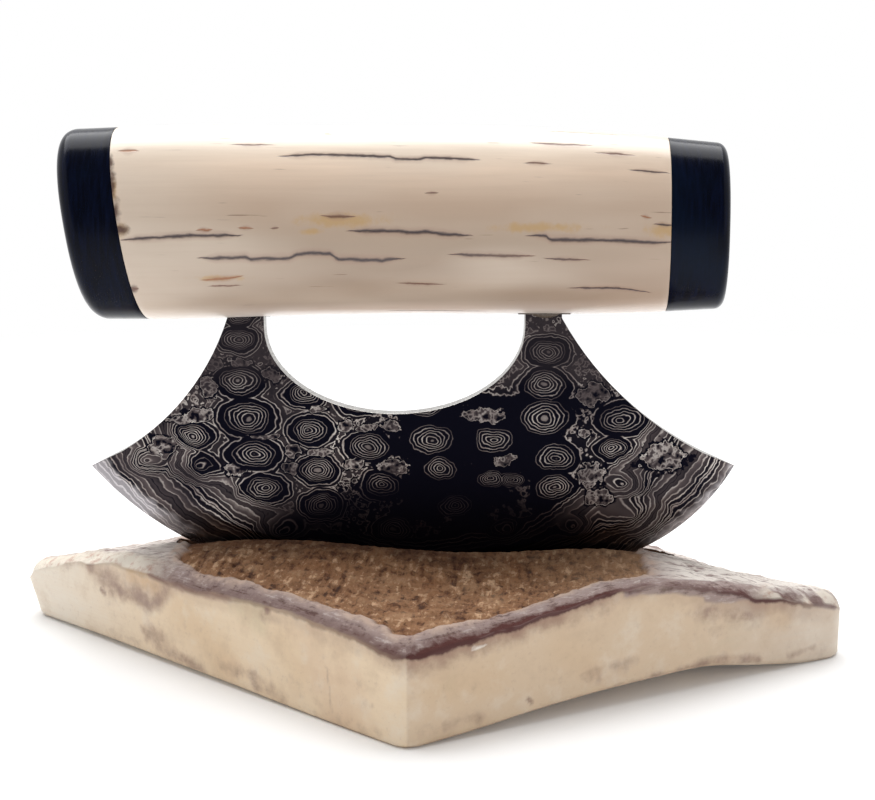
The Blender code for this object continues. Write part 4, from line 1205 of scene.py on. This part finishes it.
@dataclass
class BoneStand:
    """The stand: a lozenge of bone with an arched foot, a crusted rim, a spongy top and a slot."""

    half_length: float = 83.2           # millimetres from here on
    half_depth: float = 53.5
    end_skew: float = 12.0
    front_skew: float = 1.0
    plan_fit: float = 0.9995            # keeps the rounded outline inside the CAD's faceted one
    corner_radius: float = 4.5
    height: float = 21.0
    rim_width: float = 4.2
    rim_drop: float = 1.1
    corner_drop: float = 2.1
    corner_reach: float = 30.0
    foot_round: float = 0.6
    heel_tuck: float = 2.4
    arch_lift: float = 3.5
    side_lift: float = 0.8
    foot_share: float = 0.72
    cells: int = 216                    # of the top, along each side
    side_rings: int = 30
    slot_half_width: float = 2.05
    slot_end_room: float = 2.8
    slot_gap: float = 0.3
    slot_mouth: tuple[float, float] = (-46.5, 50.6)    # where the slot fades out of the top
    slot_shallows: float = 2.4
    slot_lip: float = 0.12
    slot_taper: Row = (46.0, 50.8, 0.30)     # start, end and last width's share
    end_rounds: tuple[float, float] = (3.0, 2.8)
    back_swell: Row = (50.0, 6.5, 7.0, 5.0, 0.55)     # middle, half widths and height
    sponge_sink: float = 0.60
    sponge_middle: float = -0.8
    sponge_reach: float = 43.5          # to either side of its middle
    crust_sway: tuple[float, float] = (0.22, 1.1)      # grain and size
    coarse_lumps: tuple[float, float] = (0.30, 0.42)   # grain and height
    fine_lumps: tuple[float, float] = (0.9, 0.16)
    rim_wave: Row = (0.17, 0.55, 0.12)                 # grain, height and how much lower it lies
    open_grain: Row = (0.9, 0.36, 0.55)                # grain across and along, and height
    ridge_lift: float = 0.20
    bleach_right: Row = (38.0, 52.0, 1.15)             # where it starts and is full, and strength
    bleach_left: Row = (38.0, 50.0, 0.80)
    bleach_band: Row = (66.0, 58.0, 3.0)               # keeps it off the rim short of the tip
    pale_left: tuple[float, float] = (42.0, 54.0)
    pale_right: Row = (58.0, 66.0, 0.8)
    pale_grain: float = 0.16
    pore_pitch: tuple[float, float] = (1.35, 3.2)
    pore_sway: tuple[float, float] = (0.55, 0.8)
    pore_rarity: float = 0.55           # share of the places that stay closed
    foot_rings: int = 4                 # of the rounded foot and the underside, after the sides'
    edge_half_width: float = 0.3        # the blade's corners this close to its middle are its edge
    edge_below: float = 33.0            # and lie lower than this
    half_reach: float = 79.3            # of the finished stand, which its two tips are rounded to
    deep: float = 12.0                  # how far below the rim the underside counts as
    foot_stain: float = 0.35
    keel: list[tuple[float, float]] = field(default_factory=list)   # cutting edge, mm, left to right
    top_shares: tuple[Row, ...] = (
        (0.52, 0.37, 0.36, 0.47, 0.64),
        (0.79, 0.86, 0.82, 0.79, 0.70),
        (0.88, 0.94, 0.84, 0.81, 0.67),
        (0.90, 0.79, 0.77, 0.85, 0.51),
        (0.82, 0.88, 1.00, 0.75, 0.57),
    )
    # How far the top of a sawn side lies above the usual rim, along each side, mm
    rim_lifts: tuple[Row, ...] = (
        (0.0, 0.0, 0.0, -0.4, -1.3, -1.0, -0.4, 0.5, 0.9), (0.9, 1.1, 1.1, 0.9, 0.2, 0.0, 0.0, 0.0, 0.0),
        (0.0, 0.2, -0.3, 0.3, 0.0, -0.4, 0.3, 0.2, 0.0), (0.0, 0.4, 0.0, -0.4, 0.3, 0.0, -0.3, 0.0, 0.0))
    # Strength of the dark line under the crust along each side, and of the painted shade just below it
    seams: tuple[Row, ...] = (
        (0.0, 0.0, 0.1, 0.25, 0.42, 0.44, 0.46, 0.55, 0.9), (1.3, 1.4, 1.4, 1.3, 0.5, 0.8, 1.2, 0.5, 0.0),
        (0.1, 0.4, 0.9, 1.0, 1.0, 0.9, 0.8, 0.9, 1.0), (1.0, 0.9, 0.6, 0.7, 0.9, 0.6, 0.3, 0.0, 0.0))
    arch_shares: Row = (0.0, 0.24, 0.58, 0.84, 0.97, 1.0, 0.5, 0.06, 0.0)
    side_shares: Row = (0.0, 0.6, 1.0, 0.95, 0.8, 0.6, 0.2, 0.0, 0.0)
    # Width of the crust at even steps from 50 left of the middle to 50 right of it
    crust_widths: Row = (9.0, 3.6, 3.4, 4.4, 4.4, 4.2, 4.2, 5.4, 8.0, 10.0, 18.0)

    def corners(self) -> list[Vector]:
        """Sharp corners in plan: left, front, right and back."""
        left = Vector((-self.half_length, self.end_skew))
        front = Vector((-self.front_skew, -self.half_depth))
        return [left, front, -left, -front]

    def insets(self, point: Vector) -> list[float]:
        """Distance of a point in plan inside each of the four sides."""
        corners = self.corners()
        found = []
        for k, corner in enumerate(corners):
            along = (corners[(k + 1) % 4] - corner).normalized()
            found.append((point - corner).dot(Vector((-along.y, along.x))))
        return found

    def side_place(self, point: Vector) -> tuple[int, float]:
        """Nearest side to a point in plan, and the share of the way along that side."""
        insets = self.insets(point)
        side = insets.index(min(insets))
        corners = self.corners()
        line = corners[(side + 1) % 4] - corners[side]
        return side, min(max((point - corners[side]).dot(line) / line.length_squared, 0.0), 1.0)

    def rounded(self, point: Vector) -> Vector:
        """Pull a point of the sharp lozenge in where its corners are rounded.

        Args:
            point: Place in plan on the sharp lozenge.

        Returns:
            The place on the rounded one.
        """
        length = point.length
        if length < 1e-6:
            return point
        corners = self.corners()
        direction = point / length
        sharp = math.inf
        for k, corner in enumerate(corners):
            along = (corners[(k + 1) % 4] - corner).normalized()
            out = Vector((along.y, -along.x))
            facing = direction.dot(out)
            if facing > 1e-9:
                sharp = min(sharp, corner.dot(out) / facing)
        edge = sharp
        for k, corner in enumerate(corners):
            back = (corners[k - 1] - corner).normalized()
            ahead = (corners[(k + 1) % 4] - corner).normalized()
            half_angle = back.angle(ahead) / 2
            centre = corner + (back + ahead).normalized() * self.corner_radius / math.sin(half_angle)
            if (direction * sharp - corner).length < self.corner_radius / math.tan(half_angle):
                near = direction.dot(centre)
                gap = near ** 2 - centre.length_squared + self.corner_radius ** 2
                edge = near + math.sqrt(max(gap, 0.0))
        share = length / sharp
        return point * (1 - (1 - self.plan_fit * edge / sharp) * share ** 6)

    def top_height(self, point: Vector) -> float:
        """Height of the smooth top over a point in plan."""
        left, front, _, back = self.corners()
        ahead, across = front - left, back - left
        place = point - left
        area = ahead.x * across.y - ahead.y * across.x
        row = (place.x * across.y - place.y * across.x) / area
        column = (ahead.x * place.y - ahead.y * place.x) / area
        return self.height * spline([spline(shares, column) for shares in self.top_shares], row)

    def edge_height(self, point: Vector) -> float:
        """Height of the top of the sawn side."""
        nearest = min((point - corner).length for corner in self.corners())
        side, share = self.side_place(point)
        return self.top_height(point) - self.rim_drop + spline(self.rim_lifts[side], share) - (
            self.corner_drop * max(1 - nearest / self.corner_reach, 0.0))

    def foot_height(self, side: int, share: float) -> float:
        """Height of the hollow under a side."""
        lift, shares = (self.arch_lift, self.arch_shares) if side == 1 else (self.side_lift, self.side_shares)
        return lift * max(spline(shares, share), 0.0)

    def slot_depth(self, x: float) -> float:
        """Height of the slot's floor, which follows the cutting edge."""
        inner = math.copysign(max(abs(x) - self.slot_end_room, 0.0), x)
        mouth = self.slot_mouth[0] if x < 0 else self.slot_mouth[1]
        shallow = self.top_height(Vector((x, 0.0))) - self.slot_shallows * smooth_step(
            abs(mouth) - abs(x), -0.6, 3.0)
        k = next((k for k in range(1, len(self.keel) - 1) if self.keel[k][0] > inner), len(self.keel) - 1)
        (x_low, z_low), (x_high, z_high) = self.keel[k - 1], self.keel[k]
        share = (inner - x_low) / (x_high - x_low)
        return min(z_low + (z_high - z_low) * share - self.slot_gap, shallow)

    def zones(self, point: Vector) -> dict[str, float]:
        """Sort a point of the top into spongy middle, ridge round it, bleached and pale crust.

        Args:
            point: Place in plan.

        Returns:
            Inset from the nearest side in millimetres, and the strength of each zone.
        """
        inset = min(self.insets(point))
        grain, size = self.crust_sway
        sway = noise.fractal(Vector((point.x, point.y, 4.0)) * grain, 1.0, 2.0, 3) * size
        width = spline(self.crust_widths, (point.x + 50.0) / 100.0) + sway
        inner = inset - width
        ends = self.sponge_reach + sway * 2.0 - abs(point.x - self.sponge_middle)
        inner = min(inner, ends * 0.8)
        tip, full, width = self.bleach_band
        band = width * smooth_step(point.x, tip, full)
        start, full, most = self.bleach_right
        bleach = most * smooth_step(point.x, start, full) * smooth_step(inset, 1.0 + band, 3.5 + band)
        start, full, most = self.bleach_left
        bleach = max(bleach, most * smooth_step(-point.x, start, full) * smooth_step(inset, 2.0, 5.0))
        grain = self.pale_grain
        patch = noise.fractal(Vector((point.x * grain, point.y * grain, 7.0)), 1.0, 2.0, 3)
        pale = smooth_step(-point.x, *self.pale_left) * smooth_step(inset + sway, 5.4, 2.4)
        start, full, most = self.pale_right
        pale = max(pale, most * smooth_step(point.x, start, full) * smooth_step(inset, 6.0, 2.0)
                   * smooth_step(patch, -0.06, 0.16))
        return {"inset": inset, "sponge": smooth_step(inner, -0.45, 0.45), "bleach": bleach,
                "ridge": math.exp(-((inner + 0.8) / 0.8) ** 2), "pale": pale}

    def pores(self, point: Vector) -> float:
        """Strength of the pores at a point in plan, 0 to 1."""
        grain, size = self.pore_sway
        place = Vector((point.x / self.pore_pitch[0], point.y / self.pore_pitch[1], 0.0))
        place += noise.noise_vector(Vector((point.x, point.y, 9.0)) * grain) * size
        distances, sites = noise.voronoi(place)
        lucky = noise.cell(sites[0] * 3.7)
        if lucky < self.pore_rarity:
            return 0.0
        return smooth_step(distances[0], 0.05 + 0.45 * lucky, 0.04)

    def grid(self) -> BMesh:
        """Make the flat top as a fine net with the slot's edges cut into it."""
        bm = bmesh.new()
        bmesh.ops.create_grid(bm, x_segments=self.cells, y_segments=self.cells, size=0.5)
        left, front, _, back = self.corners()
        for vert in bm.verts:
            flat = left + (vert.co.x + 0.5) * (front - left) + (vert.co.y + 0.5) * (back - left)
            vert.co = (*self.rounded(flat), 0.0)
        half = self.slot_half_width
        cuts = [((0.0, y, 0.0), (0.0, 1.0, 0.0)) for y in (-half, half)]
        cuts += [((x, 0.0, 0.0), (1.0, 0.0, 0.0)) for x in self.slot_mouth]
        for place, facing in cuts:
            bmesh.ops.bisect_plane(bm, geom=bm.verts[:] + bm.edges[:] + bm.faces[:], dist=1e-5,
                                   plane_co=place, plane_no=facing)
        return bm

    def build(self, blade: Object) -> None:
        """Build the stand over its node.

        Args:
            blade: The blade's node, whose cutting edge the slot follows.
        """
        places = [blade.matrix_world @ vert.co / MM for vert in blade.data.vertices]
        self.keel = sorted({(round(place.x, 4), round(place.z, 4)) for place in places
                            if abs(place.y) < self.edge_half_width and place.z < self.edge_below})
        bm = self.grid()
        layers = {name: bm.verts.layers.float.new(name) for name in (*FELT, "rim")}
        rim = [edge for edge in bm.edges if edge.is_boundary]
        start, end, last = self.slot_taper
        for vert in bm.verts:
            if abs(vert.co.y) < self.slot_half_width + 1e-4:
                pinch = smooth_step(vert.co.x, start, end) * smooth_step(vert.co.x, 2 * end - start, end)
                vert.co.y *= 1 - (1 - last) * pinch
        for vert in bm.verts:
            self.shape_top(vert, layers)
        self.sink_slot(bm, layers)
        self.grow_sides(bm, rim, layers)
        bmesh.ops.transform(bm, matrix=Matrix.Scale(MM, 4), verts=bm.verts[:])
        bmesh.ops.recalc_face_normals(bm, faces=bm.faces[:])
        piece_object("bone_block", bm, (SawnWeatheredBone().make(),), STAND_BODY, ("stand_slab",),
                     sharp=75.0)

    def shape_top(self, vert: BMVert, layers: Layers) -> None:
        """Raise a vertex of the top to its place and say what it is made of.

        Args:
            vert: The vertex, flat so far.
            layers: The mesh's layers by name.
        """
        point = vert.co.xy
        zones = self.zones(point)
        inset, sponge = zones["inset"], zones["sponge"]
        side, share = self.side_place(point)
        drop = self.top_height(point) - self.edge_height(point)
        rise = math.sin(math.pi / 2 * min(inset / self.rim_width, 1.0)) if inset > 0 else 0.0
        height = self.top_height(point) - drop * (1 - rise)
        place = Vector((point.x, point.y, 0.0))
        grain, size = self.coarse_lumps
        lumps = size * noise.fractal(place * grain, 0.9, 2.1, 5)
        grain, size = self.fine_lumps
        lumps += size * noise.fractal(place * grain, 0.9, 2.1, 3)
        grain, size, low = self.rim_wave
        wave = noise.fractal(place * grain, 1.0, 2.0, 3) * size - low
        pit = self.pores(point)
        across, along, size = self.open_grain
        cells = noise.fractal(Vector((point.x * across, point.y * along, 5.0)), 0.7, 2.1, 5) * size
        height += lumps * (1 - sponge) * smooth_step(inset, 0.0, 1.2) + self.ridge_lift * zones["ridge"]
        height += wave * (1 - smooth_step(inset, 0.0, 4.0))
        x, y, long, wide, swell = self.back_swell
        height += swell * math.exp(-((point.x - x) / long) ** 2 - ((point.y - y) / wide) ** 2)
        lip = 1.0 - 0.75 * smooth_step(abs(point.y), 6.0, 2.5)
        height += sponge * (-self.sponge_sink + (cells - pit) * lip)
        end_round = self.end_rounds[0] if point.x < 0 else self.end_rounds[1]
        tip = min(max(1 - (self.half_reach - abs(point.x)) / end_round, 0.0), 1.0)
        height -= end_round * (1 - math.sqrt(1 - tip * tip))
        vert.co.z = min(height, self.height)
        vert[layers["top"]] = smooth_step(inset, 0.05, 0.5)
        for name, value in zones.items():
            vert[layers[name]] = value
        vert[layers["pit"]] = min(sponge, pit)
        vert[layers["seam"]] = self.seam(side, share)
        # 1 on the front-right and back-left sides: it sets the fibre direction of the crust, and which sides
        # get the painted shade of turning away from the light
        vert[layers["lie"]] = float(side % 2)
        if inset < self.rim_width / 4:
            for tone in Tone:
                vert[layers[tone.value]] = self.stained(tone, side, share, vert.co.z)

    def sink_slot(self, bm: BMesh, layers: Layers) -> None:
        """Sink the strip between the slot's edges to its floor."""
        low, high = self.slot_mouth
        strip = [face for face in bm.faces
                 if abs(face.calc_center_median().y) < self.slot_half_width
                 and low < face.calc_center_median().x < high]
        for lip in (True, False):
            grown = bmesh.ops.extrude_face_region(bm, geom=strip)["geom"]
            bmesh.ops.delete(bm, geom=[face for face in strip if face.is_valid], context="FACES")
            strip = [part for part in grown if isinstance(part, BMFace)]
            for part in grown:
                if isinstance(part, BMVert):
                    part.co.z = part.co.z - self.slot_lip if lip else min(
                        self.slot_depth(part.co.x), part.co.z - self.slot_lip)
                    part[layers["pit"]] = 0.8
                    part[layers["sponge"]] = 1.0

    def grow_sides(self, bm: BMesh, rim: list[BMEdge], layers: Layers) -> None:
        """Grow the sawn sides, the rounded foot and the underside from the rim."""
        loop = rim
        for ring in range(1, self.side_rings + self.foot_rings + 1):
            fresh, loop = grown_ring(bm, loop)
            for vert in fresh:
                if ring == 1:
                    vert[layers["rim"]] = vert.co.z
                self.shape_side(vert, ring, layers)
        bmesh.ops.contextual_create(bm, geom=loop)

    def shape_side(self, vert: BMVert, ring: int, layers: Layers) -> None:
        """Put a vertex of the sides, the foot or the underside in its place.

        Args:
            vert: The vertex, still where it was grown from.
            ring: Number of its ring, counted down from the rim.
            layers: The mesh's layers by name.
        """
        point = vert.co.xy
        side, share = self.side_place(point)
        foot = self.foot_height(side, share)
        rings = self.side_rings
        for name in FELT[:TOP_VALUES]:
            vert[layers[name]] = 0.0
        if ring <= rings:
            high = vert[layers["rim"]]
            vert.co.z = high + (foot + self.foot_round - high) * ring / rings
            vert.co.x += self.heel_tuck * max(-vert.co.x / self.half_length, 0.0) ** 4 / rings
            vert[layers["below"]] = high - vert.co.z
            for tone in Tone:
                vert[layers[tone.value]] = self.stained(tone, side, share, vert.co.z)
            return
        vert[layers["below"]] = self.deep
        for tone in Tone:
            vert[layers[tone.value]] = self.foot_stain if tone is Tone.BROWN else 0.0
        if ring == rings + 1:
            vert.co = (*(point - point.normalized() * self.foot_round), foot)
        elif ring == rings + self.foot_rings:
            vert.co = (*(point * self.foot_share / self.underside_share(3)), 0.0)
        else:
            step = ring - rings - 1
            vert.co = (*(point * self.underside_share(step + 1) / self.underside_share(step)),
                       vert.co.z * (1 - step / 3))

    def underside_share(self, step: int) -> float:
        """Size of a ring of the underside against the outline."""
        return 1.0 + (self.foot_share - 1.0) * (step - 1) / 3

    def seam(self, side: int, share: float) -> float:
        """Strength of the dark line between the crust and the sawn side, and of the painted shade just below
        it.
        """
        return spline(self.seams[side], share)

    def stained(self, tone: Tone, side: int, share: float, height: float) -> float:
        """Strength of one kind of stain at a place on a side."""
        corners = self.corners()
        length = (corners[(side + 1) % 4] - corners[side]).length
        return max((stain.at(share, height, length) for stain in STAINS
                    if stain.side == side and stain.tone is tone), default=0.0)


@dataclass
class Studio:
    """Floor, lamps, world and camera."""

    floor_reach: float = 4.0
    floor_front: float = -0.9
    floor_colour: str = "#f4f4f4"
    floor_glow: float = 0.05            # lift of the floor near the object, where it is seen
    white_from: float = 0.16            # distance from the object at which the floor starts to go white
    white_at: float = 0.50
    world_level: float = 0.46
    card_level: float = 0.27
    lamp_power: float = 21.0
    lamp_place: Row = (-0.12, 0.44, 1.0)
    lamp_size: tuple[float, float] = (1.5, 1.08)
    card_half_width: float = 0.70
    card_profile: Pairs = (    # (Y, Z) from its foot over the top
        (-0.86, 0.002), (-0.86, 0.55), (-0.66, 0.88), (-0.06, 0.98))
    lens: float = 52.54
    camera_place: Row = (0.004, -0.240, 0.0898)
    camera_pitch: float = 10.3

    def build_floor(self) -> None:
        """Lay the pale floor, which keeps the shadow and goes white away from the object."""
        swatch = Swatch("matt_white_sweep")
        add = swatch.add
        place = add("TexCoord")
        tooth = add("TexNoise", place.outputs["Object"], Scale=60.0, Detail=2.0)
        colour = add("Mix RGBA", add("MapRange", tooth, 0.3, 0.7, 0.0, 0.15), self.floor_colour, "#ececec")
        matt = add("BsdfDiffuse", colour)
        seen = seen_rays(add)
        near = add("AddShader", matt, add("Emission", WHITE, add("Math MULTIPLY", seen, self.floor_glow)))
        away = add("VectorMath LENGTH", place.outputs["Object"])
        away = add("MapRange SMOOTHSTEP", away, self.white_from, self.white_at, 0.0, 1.0)
        away = add("Math MULTIPLY", away, seen)
        material = swatch.surface(add("MixShader", away, near, add("Emission", WHITE, 1.0)))
        bm = bmesh.new()
        bmesh.ops.create_grid(bm, x_segments=1, y_segments=1, size=1.0)
        for vert in bm.verts:
            back = self.floor_reach if vert.co.y > 0 else self.floor_front
            vert.co = (vert.co.x * self.floor_reach, back, 0.0)
        linked_object("floor", bm, material)

    def build_card(self) -> None:
        """Hang the grey card in front, which only polished surfaces mirror."""
        swatch = Swatch("grey_reflector_card")
        add = swatch.add
        nap = add("TexNoise", add("TexCoord").outputs["Object"], Scale=6.0, Detail=2.0)
        level = add("MapRange", nap, 0.3, 0.7, self.card_level * 0.9, self.card_level * 1.1)
        material = swatch.surface(add("Emission", WHITE, level))
        bm = bmesh.new()
        bmesh.ops.create_grid(bm, x_segments=1, y_segments=3, size=1.0)
        for vert in bm.verts:
            y, z = self.card_profile[round((vert.co.y + 1) * 1.5)]
            vert.co = (vert.co.x * self.card_half_width, y, z)
        card = linked_object("front_card", bm, material)
        card.visible_camera = card.visible_diffuse = card.visible_shadow = False

    def build_lamp(self) -> None:
        """Hang the one soft lamp, which looks straight down."""
        data = bpy.data.lights.new("overhead_softbox", "AREA")
        data.shape, data.energy = "RECTANGLE", self.lamp_power
        data.size, data.size_y = self.lamp_size
        lamp = bpy.data.objects.new(data.name, data)
        lamp.location = self.lamp_place
        lamp.rotation_euler = Vector((0.0, 0.0, -1.0)).to_track_quat("-Z", "Y").to_euler()
        bpy.context.scene.collection.objects.link(lamp)

    def build_world(self) -> None:
        """Give the world plain light, and white where it is seen or mirrored."""
        swatch = Swatch("white_studio", world=True)
        add = swatch.add
        level = add("MapRange", seen_rays(add), 0.0, 1.0, self.world_level, 1.0)
        bpy.context.scene.world = swatch.surface(add("Background", WHITE, level))

    def build_camera(self) -> None:
        """Set the camera up where the photograph was taken from."""
        data = bpy.data.cameras.new("camera")
        data.lens = self.lens
        data.clip_start = 0.01
        camera = bpy.data.objects.new("camera", data)
        camera.location = self.camera_place
        camera.rotation_euler = (math.radians(90 - self.camera_pitch), 0.0, 0.0)
        bpy.context.scene.collection.objects.link(camera)
        bpy.context.scene.camera = camera

    def build(self) -> None:
        """Set up the whole studio."""
        self.build_camera()
        self.build_floor()
        self.build_card()
        self.build_world()
        self.build_lamp()
        bpy.context.scene.view_settings.view_transform = "Standard"


def main() -> None:
    """Build the knife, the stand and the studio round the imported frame."""
    logging.basicConfig(level=logging.INFO, format="%(name)s: %(message)s")
    noise.seed_set(NOISE_SEED)
    for item in list(bpy.data.objects):
        bpy.data.objects.remove(item)
    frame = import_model()
    nodes = frame["nodes"]
    Blade().build(nodes)
    Handle().build(nodes)
    BoneStand().build(nodes["blade"])
    Studio().build()


if __name__ == "__main__":
    main()
